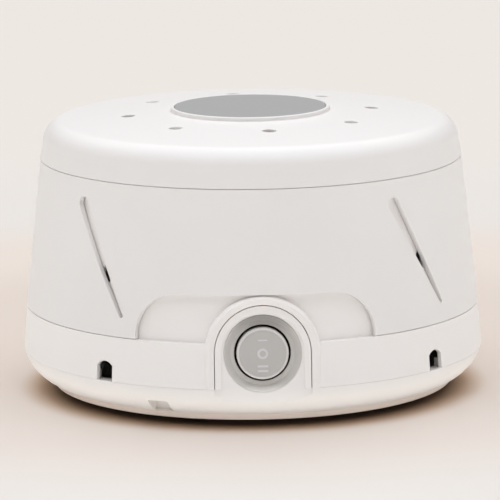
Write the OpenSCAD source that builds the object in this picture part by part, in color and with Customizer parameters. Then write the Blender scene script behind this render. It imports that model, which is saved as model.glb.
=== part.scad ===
// White noise sound machine that makes its sound with a fan, in millimetres.
// The axis of the round body is Z, the table is z = 0 and the switch faces -Y.
// A base pan carries the motor, the switch and the cord inlet. A housing with slots and
// ports stands on it, a slotted collar turns around the housing, and a cap with holes
// turns on top. Turning them moves the places where slots and holes meet.

/* [Base pan] */
// Radius of the widest line, where the housing stands on the base pan
body_r = 73; // [68:0.5:84]
// Height of the base pan, from its underside to that line
pan_h = 11.35; // [10:0.05:16]
// Radius of the short upright band at the pan's foot
pan_band_r = 63.6; // [58:0.2:66]
// Height of that band
pan_band_h = 1.8; // [1:0.1:3]
// Width of the small step above the band
pan_band_step = 0.6; // [0.2:0.1:1.2]
// How far the pan's round side bulges past a straight chamfer
pan_bulge = 1.7; // [0.6:0.1:2.2]
// Wall thickness of the pan
pan_wall = 2.2; // [1.6:0.1:2.8]
// Thickness of the lip that locates the housing
lip_t = 1.6; // [1:0.1:2.4]
// Height of the lip above the seam
lip_h = 2.5; // [1.5:0.1:3.5]

/* [Grip notches in the pan] */
// Width of a grip notch
notch_w = 6.8; // [4:0.1:10]
// Height of a notch's lower edge above the pan's underside
notch_low = 2.7; // [2.2:0.1:3.5]
// Height of its upper edge above the pan's underside
notch_high = 6.5; // [5:0.1:8]
// Angle of the first notch from the front
notch_left = -27; // [-30:0.1:-24]
// Angle of the second notch from the front
notch_right = 72.2; // [68:0.1:76]

/* [Feet and case screws] */
// Height of the feet below the pan
foot_h = 2; // [1:0.1:4]
// Radius of a foot
foot_r = 6; // [4:0.1:8]
// Depth of a foot's seat in the pan
foot_seat = 0.8; // [0.4:0.1:1.2]
// Distance of the feet's centres from the pan's edge
foot_inset = 11.6; // [9:0.1:16]
// Radius of a case screw's shank
case_screw_r = 1.5; // [1.2:0.1:2]
// Radius of its head
case_head_r = 3; // [2.4:0.1:3.6]
// Distance of the case screws from the pan's edge
case_screw_inset = 8.6; // [8:0.1:12]
// Angle of the first case screw from the front
case_screw_turn = 24; // [22:0.5:30]

/* [Housing] */
// Height of the housing's fixed ring
ring_h = 14; // [12:0.1:18]
// Slope of the ring's outside from upright, in degrees
ring_taper = 4.6; // [2:0.1:7]
// Wall thickness of the ring
ring_wall = 2.2; // [1.6:0.1:3]
// Wall thickness of the slotted drum
drum_wall = 1.8; // [1.2:0.1:2.4]
// Turn of the housing's slots and inlets away from the diagonals, in degrees
housing_turn = 3.6; // [0:0.1:5]
// Width of an arched air inlet in the ring
inlet_w = 6; // [4:0.1:9]
// Height of an inlet
inlet_h = 6.2; // [5:0.1:9]

/* [Collar] */
// Height of the collar
collar_h = 46.9; // [40:0.1:56]
// Slope of the collar's outside from upright, in degrees
collar_taper = 6.2; // [3:0.1:7]
// Wall thickness of the collar
collar_wall = 1.6; // [1.2:0.1:2.2]
// Running gap between the collar and the drum
collar_gap = 0.35; // [0.3:0.05:0.6]
// How far the collar stands turned from its middle position, in degrees
collar_rest = -1.7; // [-8:0.1:8]
// Half width of the window that clears the switch
window_half_w = 36.7; // [32:0.1:40]
// Radius of the window's upper corners
window_round = 13.8; // [6:0.1:14]

/* [Sound slots] */
// Radius of a slot's wide upper end
slot_top_r = 2.1; // [1.5:0.05:2.8]
// Radius of its narrow lower end
slot_low_r = 0.6; // [0.4:0.05:1.2]
// Height between the centres of a slot's two ends
slot_h = 32.6; // [26:0.1:36]
// Sideways lean between those centres
slot_lean = 18.4; // [10:0.1:22]
// Height of a slot's middle above the collar's lower edge
slot_mid = 22.8; // [20:0.1:25]
// Turn of the collar's slots away from the diagonals, in degrees
collar_slot_turn = 2.3; // [0:0.1:5]

/* [Cap] */
// Height of the cap's side, from its lower edge to its shoulder
cap_h = 12; // [10:0.1:16]
// Slope of the cap's side from upright, in degrees
cap_taper = 9.3; // [6:0.1:12]
// Radius of the cap's shoulder
cap_round = 6.6; // [5:0.1:8]
// Rise of the cap's crown above its shoulder
cap_crown = 2.6; // [2:0.1:4]
// Wall thickness of the cap
cap_wall = 1.8; // [1.4:0.1:2]
// Radius of a sound hole
cap_hole_r = 2.15; // [1.5:0.05:3]
// Radius of the circle of sound holes
cap_hole_ring = 39; // [34:0.5:44]
// Turn of the first sound hole from the front, in degrees
cap_turn = 6.1; // [0:0.1:12]
// Radius of the grey disc
disc_r = 24; // [20:0.1:27]
// Width of the raised rim around the disc
disc_rim = 1.25; // [0.8:0.05:2]
// Height of that rim above the crown
disc_rise = 0.85; // [0.4:0.05:1.4]
// Thickness of the disc
disc_t = 1.5; // [1:0.1:2]
// How far the cap turns either way, in degrees
cap_travel = 22.5; // [10:0.5:30]

/* [Switch and its tongue] */
// Height of the switch's centre above the seam
switch_rise = 10.75; // [10:0.05:12]
// Distance of the tongue's face from the axis, at the switch's centre
tongue_inset = 2.5; // [2.2:0.05:3]
// Half width of the tongue
tongue_r = 14.6; // [13.8:0.05:15.2]
// Thickness of the tongue
tongue_t = 4.6; // [4:0.1:5.2]
// Width of the raised border of the tongue
border_w = 2.1; // [1.4:0.1:2.3]
// Height of that border
border_h = 0.7; // [0.3:0.05:0.8]
// Gap between the tongue and the arch around it
arch_gap = 0.3; // [0.2:0.05:0.5]
// Width of the arch
arch_w = 2.9; // [2:0.1:3.2]
// Radius that rounds the arch's outer edge
arch_round = 1.8; // [0.5:0.1:1.9]
// Radius of the seat for the switch's bezel, at the panel
dish_r = 12; // [11.4:0.05:12.4]
// Depth of that seat
dish_depth = 2.6; // [1.6:0.1:2.8]
// Radius of the bezel's back, at the bottom of the seat
bezel_r = 10.6; // [10.2:0.05:10.8]
// Thickness of the bezel at the bottom of its hollow
bezel_t = 0.5; // [0.4:0.1:0.8]
// Radius of the round rocker
rocker_r = 7.95; // [7:0.05:8.2]
// Gap around the rocker
rocker_gap = 0.7; // [0.5:0.05:0.9]
// Width of the rocker's bevel
rocker_bevel = 0.9; // [0.5:0.05:1.3]
// Depth of the switch body behind the bezel
switch_depth = 14; // [12:0.5:18]

/* [Motor and fan] */
// Radius of the motor shaft
shaft_r = 2; // [1.5:0.1:2.5]
// Height of the stack of laminations
stack_h = 14; // [10:0.5:16]
// Radius of the rotor
rotor_r = 11.1; // [9:0.1:11.8]
// Air gap between the rotor and the stack
air_gap = 0.4; // [0.3:0.05:0.6]
// Radius of the fan
fan_r = 50; // [42:0.5:54]
// Height of the fan's blades
blade_h = 17; // [10:0.5:19]
// Number of blades
blade_count = 14; // [8:1:20]
// Thickness of a blade
blade_t = 1.5; // [1:0.1:2.5]

/* [Cord inlet] */
// Radius of the hole for the cord
cord_hole_r = 2.6; // [2:0.1:3.2]
// Wall of the inlet's bush around that hole
bush_wall = 2.4; // [1.6:0.1:2.8]

/* [Hidden] */

// Finish of the curves
round_fn = 144;
small_fn = 48;
// Overlap that makes a cut pass through a face
past = 1;
// Gap between parts that turn past each other along the axis
seam = 0.3;
// Gap of a shaft in its bearing
shaft_fit = 0.03;
// Gap of the rocker's pins in the switch body
pin_fit = 0.05;
// Gap around parts that drop into a seat
seat_fit = 0.1;

// Levels, from the table up
pan_z = foot_h;
floor_z = pan_z + pan_wall;
seam_z = pan_z + pan_h;
ledge_z = seam_z + ring_h;
cap_z = ledge_z + collar_h;
shoulder_z = cap_z + cap_h;
crown_z = shoulder_z + cap_crown;
rim_z = crown_z + disc_rise;

// Radii of the outside at those levels
ledge_r = body_r - ring_h * tan(ring_taper);
cap_r = ledge_r - collar_h * tan(collar_taper);

// The pan's round side is an arc through the seam and the top of the band
bowl_top = [body_r, seam_z];
bowl_low = [pan_band_r + pan_band_step, pan_z + pan_band_h];
bowl_chord = norm(bowl_low - bowl_top);
bowl_r = pow(bowl_chord, 2) / (8 * pan_bulge) + pan_bulge / 2;
bowl_along = (bowl_low - bowl_top) / bowl_chord;
bowl_inward = [bowl_along[1], -bowl_along[0]];
bowl_c = (bowl_top + bowl_low) / 2 + bowl_inward * (bowl_r - pan_bulge);

// Wall behind a grip notch
pocket_wall = 1.4;

// Lip inside the ring
ring_in_r = body_r - ring_wall;
lip_gap = 0.2;
lip_r = ring_in_r - lip_gap;
lip_root = 3;

// Ring around the air inlets: arc over an inlet, thinner wall and its rim
inlet_arc_r = 0.63 * inlet_w;
inlet_wall = 1.35;
inlet_rim = 1.5;

// Drum that the collar turns around
drum_inset = collar_wall + collar_gap;
drum_low_r = ledge_r - drum_inset;
ring_top_z = ledge_z - seam;
ring_web = 5;

// Cap: shoulder arc and lid below it
shoulder_c_z = shoulder_z - cap_round;
shoulder_side_r = cap_r - (shoulder_c_z + cap_round * sin(cap_taper) - cap_z) * tan(cap_taper);
shoulder_c_r = shoulder_side_r - cap_round * cos(cap_taper);
lid_gap = 0.8;
lid_z = shoulder_z - cap_wall - lid_gap;
lid_t = 1.8;
neck_gap = 0.6;
neck_round = cap_round - cap_wall - lid_gap;
neck_r = min(shoulder_c_r + neck_round, cap_r - cap_wall - neck_gap - cap_h * tan(cap_taper) / 2);
neck_z = cap_z - 2 * seam;
hole_level = shoulder_z + cap_crown * (1 - pow(cap_hole_ring / shoulder_c_r, 2));
land_w = 4;
land_z = hole_level - cap_wall - 0.6;
port_r = cap_hole_r + 0.5;

// Pivot of the cap
cap_screw_r = 1.6;
cap_head_r = 4;
cap_head_h = 1.3;
hub_r = 9;
disc_seat_z = rim_z - disc_t;
cap_head_gap = 0.15;
hub_floor = 1.2;
hub_low_z = disc_seat_z - cap_head_h - cap_head_gap - hub_floor;
washer_t = 0.5;
washer_gap = 0.1;
post_z = hub_low_z - washer_gap - washer_t;
peg_r = 1.8;
peg_ring = (disc_r + disc_rim + cap_hole_ring - land_w) / 2;
peg_gap = 0.4;
stop_half = cap_travel + peg_gap * 60 / peg_ring;

// Switch on the tongue's face
tongue_tilt = ring_taper;
switch_z = seam_z + switch_rise;
face_y = body_r - tongue_inset;
arch_in_r = tongue_r + arch_gap;
arch_out_r = arch_in_r + arch_w;
arch_depth = 9;
window_z = switch_z + arch_out_r * cos(tongue_tilt) + seam;
tongue_leg = (switch_z - pan_z - notch_low) / cos(tongue_tilt);
seam_leg = (switch_z - seam_z) / cos(tongue_tilt);
dish_floor = -border_h - dish_depth;
body_tube_r = rocker_r + rocker_gap + 0.95;
rocker_depth = 5.5;
rocker_proud = 2.6;
rocker_face = dish_floor + bezel_t + rocker_proud;
pivot_h = rocker_face - 4.3;
pin_r = 0.8;
well_depth = 7.2;
bezel_rim = 0.3;
bezel_flat = 1.3;
terminal_w = 4.8;
terminal_t = 0.8;
terminal_l = 7;
terminal_in = 3;
terminal_pitch = 5;

// Housing bosses and case screws
case_ring = pan_band_r - case_screw_inset;
post_top_z = seam_z + 3;
case_boss_r = case_screw_r + 2.6;
case_head_h = 2.2;
case_seat_z = post_top_z - 4;
boss_h = 17;
case_screw_l = 14;

// Rear inlet
bush_r = cord_hole_r + bush_wall;
bush_z = seam_z + bush_r;
bush_flange = 1.6;
bush_flange_t = 1.5;
bush_seat = 1.1;
bush_in = 5;

// Motor levels and places
plate_z = pan_z + 14;
plate_t = 1.5;
stack_z = plate_z + plate_t + 2.5;
stack_top = stack_z + stack_h;
stack_bore = rotor_r + air_gap;
stack_half = 24;
stack_front = -18;
window_front = 16;
window_half = 13;
leg_front = 25;
leg_back = 36;
coil_t = 7;
bobbin_t = 1.2;
bobbin_gap = 0.1;
screw_x = 18.5;
screw_y = 11;
motor_screw_r = 1.6;
bridge_rise = 6.5;
bridge_t = 1.5;
bridge_half = 13.5;
bridge_margin = 4;
bearing_r = 4.5;
bearing_l = 7;
cup_wall = 1.6;
bridge_z = stack_top + bridge_rise;
low_bearing_z = plate_z - 5;
mount_x = 33;
mount_front = -15;
mount_back = 9;
grommet_r = 5;
grommet_waist = 3.4;
grommet_lip = 2.4;
mount_screw_r = 1.6;
mount_head_r = 3.4;
mount_head_h = 2;
rotor_over = 1;
fan_z = bridge_z + bearing_l + 1;
fan_disc_t = 1.6;
fan_hub_r = 6.5;
fan_hub_h = 12;
fan_ring_w = 6;
fan_ring_t = 1.4;
blade_curve = 34;
blade_inset = 1;
blade_in_r = 25;
shaft_low_z = pan_z + 6.5;
shaft_top_z = fan_z + fan_hub_h + 2;
clip_t = 1.2;
lead_r = 0.9;
lead_bend = 3;
lead_z = floor_z + lead_r + 0.6;
lead_spread = 7;
lead_gap = 0.15;

white = [0.93, 0.92, 0.90];
grey = [0.69, 0.69, 0.68];
black = [0.08, 0.08, 0.09];
steel = [0.62, 0.63, 0.65];
copper = [0.72, 0.42, 0.25];

// Points of an arc around c from angle a0 to a1 in n steps
function arc(c, r, a0, a1, n) =
    [for (i = [0:n]) c + r * [cos(a0 + (a1 - a0) * i / n), sin(a0 + (a1 - a0) * i / n)]];

// Radius of the outside at height z between two of its rings
function on_cone(r0, z0, taper, z) = r0 - (z - z0) * tan(taper);

// Height of the crown at radius r
function crown(r) = shoulder_z + cap_crown * (1 - pow(r / shoulder_c_r, 2));

// A copy at each of four quarter turns, the first one turned from the front
module quarters(turn) {
    for (i = [0:3])
        rotate([0, 0, turn + 90 * i])
            children();
}

// Places a child on the tongue's sloping face: +Z out of the face, +Y up along it
module on_face() {
    translate([0, -face_y, switch_z])
        rotate([90 - tongue_tilt, 0, 0])
            children();
}

// A round-topped outline with straight sides that run down by leg
module arch_outline(r, leg) {
    circle(r, $fn = round_fn);
    translate([-r, -leg])
        square([2 * r, leg]);
}

// A profile swept around the arch and down both of its legs
module arch_sweep(leg) {
    rotate_extrude(angle = 180, $fn = round_fn)
        children();
    for (side = [0, 1])
        mirror([side, 0, 0])
            rotate([90, 0, 0])
                linear_extrude(leg)
                    children();
}

// A rectangle with round corners
module round_box(w, h, r) {
    for (x = [-1, 1], y = [-1, 1])
        translate([x * (w / 2 - r), y * (h / 2 - r)])
            circle(r, $fn = small_fn);
    square([w, h - 2 * r], center = true);
    square([w - 2 * r, h], center = true);
}

// A ring between two radii
module tube(r_out, r_in, h) {
    difference() {
        cylinder(r = r_out, h = h, $fn = round_fn);
        translate([0, 0, -past])
            cylinder(r = r_in, h = h + 2 * past, $fn = round_fn);
    }
}

// A screw with its head's underside at z = 0 and its shank down to -length
module screw(r, length, head_r, head_h) {
    translate([0, 0, -length])
        cylinder(r = r, h = length, $fn = small_fn);
    difference() {
        cylinder(r = head_r, h = head_h, $fn = small_fn);
        for (turn = [0, 90])
            rotate([0, 0, turn])
                translate([-head_r * 0.6, -0.4, head_h * 0.5])
                    cube([head_r * 1.2, 0.8, head_h]);
    }
}

// Half section of the pan, shrunk by inset
module pan_section(inset) {
    square_top = seam_z - pan_z - inset;
    translate([0, pan_z + inset])
        square([bowl_c[0], square_top]);
    translate([0, pan_z + inset])
        square([pan_band_r - inset, max(pan_band_h - inset, 0.01)]);
    intersection() {
        translate(bowl_c)
            circle(bowl_r - inset, $fn = round_fn);
        translate([0, bowl_low[1]])
            square([body_r + past, seam_z - bowl_low[1]]);
    }
}

// The lip that stands up inside the ring
module lip_section() {
    polygon([
        [lip_r - lip_t, seam_z - lip_root],
        [lip_r + 1, seam_z - lip_root],
        [lip_r + 1, seam_z],
        [lip_r, seam_z],
        [lip_r, seam_z + lip_h],
        [lip_r - lip_t, seam_z + lip_h]
    ]);
}

// The lip stops short of the arch in front, of the cord bush at the back and of the inlets
module lip() {
    difference() {
        rotate_extrude($fn = round_fn)
            lip_section();
        lip_break(0, arch_out_r + seam);
        lip_break(180, bush_r + seam);
        for (i = [0:3])
            lip_break(housing_turn + 45 + 90 * i, inlet_w / 2 + inlet_rim);
    }
}

module lip_break(turn, half_width) {
    rotate([0, 0, turn])
        translate([-half_width, -body_r, seam_z])
            cube([2 * half_width, body_r / 2, lip_h + past]);
}

// Flat tongue that carries the switch, with its border and dish
module tongue() {
    difference() {
        intersection() {
            on_face()
                translate([0, 0, -tongue_t])
                    linear_extrude(tongue_t)
                        arch_outline(tongue_r, tongue_leg);
            union() {
                rotate_extrude($fn = round_fn)
                    pan_section(0);
                translate([0, 0, seam_z])
                    cylinder(r = body_r + past, h = 2 * switch_rise + tongue_r, $fn = round_fn);
            }
        }
        on_face() {
            // The border ends at the seam, and the panel runs on into the pan's side
            translate([0, 0, -border_h])
                linear_extrude(2) {
                    arch_outline(tongue_r - border_w, seam_leg);
                    translate([-arch_in_r, -tongue_leg - past])
                        square([2 * arch_in_r, tongue_leg + past - seam_leg]);
                }
            bezel_seat();
            translate([0, 0, -tongue_t - past])
                cylinder(r = body_tube_r + seat_fit, h = tongue_t + past, $fn = round_fn);
        }
    }
}

// Seat of the switch's bezel, open to the front
module bezel_seat() {
    translate([0, 0, dish_floor])
        rotate_extrude($fn = round_fn)
            polygon([
                [0, 0],
                [bezel_r + seat_fit, 0],
                [dish_r, dish_depth],
                [dish_r, dish_depth + past],
                [0, dish_depth + past]
            ]);
}

module base_pan() {
    color(white) {
        difference() {
            union() {
                rotate_extrude($fn = round_fn)
                    difference() {
                        pan_section(0);
                        pan_section(pan_wall);
                    }
                lip();
                quarters(case_screw_turn)
                    translate([0, -case_ring, pan_z + 0.5])
                        cylinder(r = case_head_r + 2, h = post_top_z - pan_z - 0.5, $fn = small_fn);
                // Walls behind the grip notches
                intersection() {
                    rotate_extrude($fn = round_fn)
                        pan_section(0);
                    notch_places()
                        notch_pocket();
                }
                // Posts for the motor's rubber mounts
                mount_places()
                    translate([0, 0, pan_z + 0.5])
                        cylinder(r = grommet_r, h = plate_z - grommet_lip - pan_z - 0.5, $fn = small_fn);
            }
            // Flat in front, where the tongue's panel runs out in the round side
            on_face()
                translate([0, 0, -border_h])
                    linear_extrude(4 * past)
                        arch_outline(arch_in_r, tongue_leg + 2 * past);
            on_face() {
                bezel_seat();
                translate([0, 0, -tongue_t + past])
                    cylinder(r = body_tube_r + seat_fit, h = tongue_t, $fn = round_fn);
            }
            quarters(case_screw_turn)
                translate([0, -case_ring, 0])
                    case_screw_hole();
            quarters(case_screw_turn + 45)
                translate([0, -(pan_band_r - foot_inset), 0])
                    cylinder(r = foot_r + seat_fit, h = pan_z + foot_seat, $fn = small_fn);
            notch_places()
                grip_notch();
            mount_places()
                translate([0, 0, floor_z + 1])
                    cylinder(r = mount_screw_r, h = plate_z, $fn = small_fn);
        }
        tongue();
    }
}

// Two pairs of grip notches, each pair on one line through the axis
module notch_places() {
    for (turn = [notch_left, notch_right])
        for (half = [0, 180])
            rotate([0, 0, turn + half])
                children();
}

// A notch in the pan's round side, cut back to an upright wall
module grip_notch() {
    translate([-notch_w / 2, -body_r - past, pan_z + notch_low])
        cube([notch_w, body_r + past - bowl_low[0], notch_high - notch_low]);
}

// The block that a notch is cut in, with a wall at its back, its sides and its top
module notch_pocket() {
    translate([-notch_w / 2 - pocket_wall, -body_r, floor_z - pocket_wall / 2])
        cube([
            notch_w + 2 * pocket_wall,
            body_r - bowl_low[0] + pocket_wall,
            pan_z + notch_high + pocket_wall - floor_z + pocket_wall / 2
        ]);
}

module case_screw_hole() {
    translate([0, 0, -past])
        cylinder(r = case_head_r + 0.4, h = case_seat_z + past, $fn = small_fn);
    cylinder(r = case_screw_r + 0.2, h = post_top_z + past, $fn = small_fn);
}

module mount_places() {
    for (x = [-mount_x, mount_x], y = [mount_front, mount_back])
        translate([x, y, 0])
            children();
}

module feet() {
    color(black)
        quarters(case_screw_turn + 45)
            translate([0, -(pan_band_r - foot_inset), 0]) {
                cylinder(r1 = foot_r - 0.6, r2 = foot_r, h = 0.6, $fn = small_fn);
                translate([0, 0, 0.6])
                    cylinder(r = foot_r, h = pan_z + foot_seat - 0.6, $fn = small_fn);
            }
}

module case_screws() {
    color(steel)
        quarters(case_screw_turn)
            translate([0, -case_ring, case_seat_z])
                rotate([180, 0, 0])
                    screw(case_screw_r, case_screw_l, case_head_r, case_head_h);
}

// Half section of the ring, drum and lid as one moulding
module housing_section() {
    lid_in_z = lid_z - lid_t;
    neck_c = [neck_r - neck_round, lid_z - neck_round];
    polygon(concat(
        [
            [ring_in_r, seam_z],
            [body_r, seam_z],
            [on_cone(body_r, seam_z, ring_taper, ring_top_z), ring_top_z],
            [on_cone(drum_low_r, ledge_z, collar_taper, ring_top_z), ring_top_z],
            [on_cone(drum_low_r, ledge_z, collar_taper, neck_z), neck_z],
            [neck_r, neck_z]
        ],
        arc(neck_c, neck_round, 0, 90, 6),
        [
            [cap_hole_ring + land_w + 1, lid_z],
            [cap_hole_ring + land_w, land_z],
            [cap_hole_ring - land_w, land_z],
            [cap_hole_ring - land_w - 1, lid_z],
            [hub_r, lid_z],
            [hub_r, post_z],
            [0, post_z],
            [0, lid_in_z - 4],
            [hub_r - 2, lid_in_z - 4],
            [hub_r, lid_in_z]
        ],
        arc(neck_c, neck_round - lid_t, 90, 0, 6),
        [
            [neck_r - lid_t, neck_z - 2],
            [on_cone(drum_low_r - drum_wall, ledge_z, collar_taper, neck_z - 3), neck_z - 3],
            [drum_low_r - drum_wall, ledge_z],
            [ring_in_r - 0.4, ledge_z - ring_web]
        ]
    ));
}

// A slot outline: a wide round end at the upper left, a narrow one at the lower right
module slot_outline() {
    top = [-slot_lean / 2, slot_h / 2];
    low = [slot_lean / 2, -slot_h / 2];
    across = [slot_h, slot_lean] / norm([slot_h, slot_lean]);
    translate(top)
        circle(slot_top_r, $fn = small_fn);
    translate(low)
        circle(slot_low_r, $fn = small_fn);
    polygon([
        top - across * slot_top_r,
        low - across * slot_low_r,
        low + across * slot_low_r,
        top + across * slot_top_r
    ]);
}

// Four slots through a wall, leaning to the left, or mirrored
module sound_slots(turn, mirrored) {
    quarters(turn + 45)
        translate([0, 0, ledge_z + slot_mid])
            rotate([90, 0, 0])
                linear_extrude(body_r + past)
                    mirror([mirrored ? 1 : 0, 0, 0])
                        slot_outline();
}

// Section of the arch around the tongue, rounded on its outer edge
module arch_section() {
    translate([arch_in_r, -arch_depth])
        square([arch_w, arch_depth - arch_round]);
    translate([arch_in_r, -arch_round])
        square([arch_w - arch_round, arch_round]);
    translate([arch_out_r - arch_round, -arch_round])
        intersection() {
            circle(arch_round, $fn = small_fn);
            square(arch_round);
        }
}

// Outline of the cord inlet: an arch that stands on the seam
module bush_outline(grow) {
    intersection() {
        translate([0, bush_r])
            arch_outline(bush_r + grow, bush_r);
        translate([-body_r / 2, 0])
            square([body_r, body_r / 2]);
    }
}

// Outline of an air inlet: upright sides below a shallow arc
module inlet_outline() {
    side_h = inlet_h - inlet_arc_r + sqrt(pow(inlet_arc_r, 2) - pow(inlet_w / 2, 2));
    translate([-inlet_w / 2, -past])
        square([inlet_w, side_h + past]);
    intersection() {
        translate([-inlet_w / 2, side_h - past])
            square([inlet_w, inlet_w]);
        translate([0, inlet_h - inlet_arc_r])
            circle(inlet_arc_r, $fn = small_fn);
    }
}

// Rooms inside the ring that leave a thinner wall around the air inlets
module inlet_relief() {
    low_z = seam_z - past;
    top_z = seam_z + inlet_h + inlet_rim;
    intersection() {
        translate([0, 0, low_z])
            cylinder(
                r1 = on_cone(body_r, seam_z, ring_taper, low_z) - inlet_wall,
                r2 = on_cone(body_r, seam_z, ring_taper, top_z) - inlet_wall,
                h = top_z - low_z,
                $fn = round_fn
            );
        quarters(housing_turn + 45)
            translate([-inlet_w / 2 - inlet_rim, -body_r, low_z])
                cube([inlet_w + 2 * inlet_rim, 2 * ring_wall, top_z - low_z]);
    }
}

module at_inlet(y) {
    translate([0, y, seam_z])
        rotate([90, 0, 0])
            children();
}

module housing() {
    color(white)
        difference() {
            union() {
                difference() {
                    rotate_extrude($fn = round_fn)
                        housing_section();
                    // Opening for the tongue
                    on_face()
                        translate([0, 0, -arch_depth - body_r / 4])
                            linear_extrude(arch_depth + body_r / 2)
                                arch_outline(arch_in_r + arch_w / 2, seam_leg + body_r / 4);
                }
                intersection() {
                    on_face()
                        arch_sweep(seam_leg + 2 * past)
                            arch_section();
                    translate([0, 0, seam_z])
                        cylinder(r = body_r + past, h = cap_z - seam_z, $fn = round_fn);
                }
                quarters(case_screw_turn)
                    case_boss();
            }
            on_face()
                translate([0, 0, -arch_depth - body_r / 4])
                    linear_extrude(arch_depth + body_r / 2)
                        arch_outline(arch_in_r, seam_leg + body_r / 4);
            sound_slots(housing_turn, true);
            // Arched air inlets in the ring's lower edge, in a thinner wall
            quarters(housing_turn + 45)
                translate([0, 0, seam_z])
                    rotate([90, 0, 0])
                        linear_extrude(body_r + past)
                            inlet_outline();
            inlet_relief();
            // Ports below the cap's holes
            quarters(cap_turn)
                translate([0, -cap_hole_ring, lid_z - lid_t - past])
                    cylinder(r = port_r, h = 10, $fn = small_fn);
            // Slot for the cap's stop peg
            translate([0, 0, lid_z - lid_t - past])
                stop_slot();
            translate([0, 0, lid_z - lid_t - 4 - past])
                cylinder(r = cap_screw_r, h = 20, $fn = small_fn);
            at_inlet(body_r + past)
                linear_extrude(body_r / 2)
                    bush_outline(seat_fit);
            at_inlet(body_r + 2 * past)
                linear_extrude(2 * past + bush_seat)
                    bush_outline(bush_flange + seat_fit);
        }
}

// A screw boss with the rib that ties it to the drum
module case_boss() {
    difference() {
        union() {
            translate([0, -case_ring, post_top_z])
                cylinder(r = case_boss_r, h = boss_h, $fn = small_fn);
            intersection() {
                translate([-1, -body_r, post_top_z])
                    cube([2, body_r - case_ring, boss_h]);
                rotate_extrude($fn = round_fn)
                    polygon([
                        [0, post_top_z],
                        [ring_in_r - 0.2, post_top_z],
                        [ring_in_r - 0.2, ledge_z - ring_web],
                        [drum_low_r - drum_wall / 2, ledge_z],
                        [on_cone(drum_low_r, ledge_z, collar_taper, post_top_z + boss_h) - drum_wall / 2,
                            post_top_z + boss_h],
                        [0, post_top_z + boss_h]
                    ]);
            }
        }
        translate([0, -case_ring, post_top_z - past])
            cylinder(r = case_screw_r, h = case_screw_l, $fn = small_fn);
    }
}

// An arc-shaped slot with round ends, centred behind the axis
module stop_slot() {
    half = peg_r + peg_gap;
    rotate([0, 0, 90 - stop_half])
        rotate_extrude(angle = 2 * stop_half, $fn = round_fn)
            translate([peg_ring - half, 0])
                square([2 * half, 10]);
    for (side = [-1, 1])
        rotate([0, 0, side * stop_half])
            translate([0, peg_ring, 0])
                cylinder(r = half, h = 10, $fn = small_fn);
}

module collar() {
    color(white)
        rotate([0, 0, collar_rest])
            difference() {
                rotate_extrude($fn = round_fn)
                    polygon([
                        [ledge_r - collar_wall, ledge_z],
                        [ledge_r, ledge_z],
                        [on_cone(ledge_r, ledge_z, collar_taper, cap_z - seam), cap_z - seam],
                        [on_cone(ledge_r - collar_wall, ledge_z, collar_taper, cap_z - seam), cap_z - seam]
                    ]);
                sound_slots(collar_slot_turn, false);
                translate([0, 0, window_z])
                    rotate([90, 0, 0])
                        linear_extrude(body_r + past)
                            window_outline();
            }
}

// The window runs out of the collar's lower edge and has round upper corners
module window_outline() {
    drop = window_z - ledge_z + past;
    inner = window_half_w - window_round;
    translate([-inner, -drop])
        square([2 * inner, drop]);
    if (drop > window_round)
        translate([-window_half_w, -drop])
            square([2 * window_half_w, drop - window_round]);
    intersection() {
        for (side = [-1, 1])
            translate([side * inner, -window_round])
                circle(window_round, $fn = round_fn);
        translate([-window_half_w, -drop])
            square([2 * window_half_w, drop]);
    }
}

// Half outline of the cap's shell at a depth below its outside
function cap_edge(depth) = concat(
    [[cap_r - depth / cos(cap_taper), cap_z]],
    arc([shoulder_c_r, shoulder_c_z], cap_round - depth, cap_taper, 84, 8),
    [for (i = [1:8]) let (r = shoulder_c_r * (1 - i / 8)) [r, crown(r) - depth]]
);

function reversed(list) = [for (i = [len(list) - 1:-1:0]) list[i]];

module top_cap() {
    peg_top = crown(peg_ring) - cap_wall / 2;
    color(white)
        difference() {
            union() {
                rotate_extrude($fn = round_fn)
                    polygon(concat(cap_edge(0), reversed(cap_edge(cap_wall))));
                // Raised rim and floor of the disc's seat
                translate([0, 0, crown(disc_r) - cap_wall])
                    cylinder(r = disc_r + disc_rim, h = rim_z - crown(disc_r) + cap_wall, $fn = round_fn);
                translate([0, 0, hub_low_z])
                    cylinder(r = hub_r, h = crown_z - hub_low_z, $fn = round_fn);
                rotate([0, 0, 180])
                    translate([0, -peg_ring, lid_z - lid_t - 0.6])
                        cylinder(r = peg_r, h = peg_top - lid_z + lid_t + 0.6, $fn = small_fn);
            }
            translate([0, 0, disc_seat_z])
                cylinder(r = disc_r + seat_fit, h = disc_t + past, $fn = round_fn);
            translate([0, 0, hub_low_z + hub_floor])
                cylinder(r = cap_head_r + 0.3, h = cap_head_h + cap_head_gap + past, $fn = small_fn);
            translate([0, 0, hub_low_z - past])
                cylinder(r = cap_screw_r + pin_fit, h = 2 * past + hub_floor, $fn = small_fn);
            for (i = [0:7])
                rotate([0, 0, cap_turn + 45 * i])
                    translate([0, -cap_hole_ring, land_z])
                        cylinder(r = cap_hole_r, h = cap_crown + cap_wall + 2 * past, $fn = small_fn);
        }
}

module cap_disc() {
    color(grey)
        translate([0, 0, disc_seat_z]) {
            cylinder(r = disc_r, h = disc_t - 0.3, $fn = round_fn);
            translate([0, 0, disc_t - 0.3])
                cylinder(r1 = disc_r, r2 = disc_r - 0.3, h = 0.3, $fn = round_fn);
        }
}

module cap_screw() {
    color(steel)
        translate([0, 0, hub_low_z + hub_floor + cap_head_gap])
            screw(cap_screw_r, hub_low_z + hub_floor + cap_head_gap - lid_z + lid_t + 4, cap_head_r, cap_head_h);
}

module cap_washer() {
    color(black)
        translate([0, 0, post_z])
            tube(hub_r - 1, cap_screw_r, washer_t);
}

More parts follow.
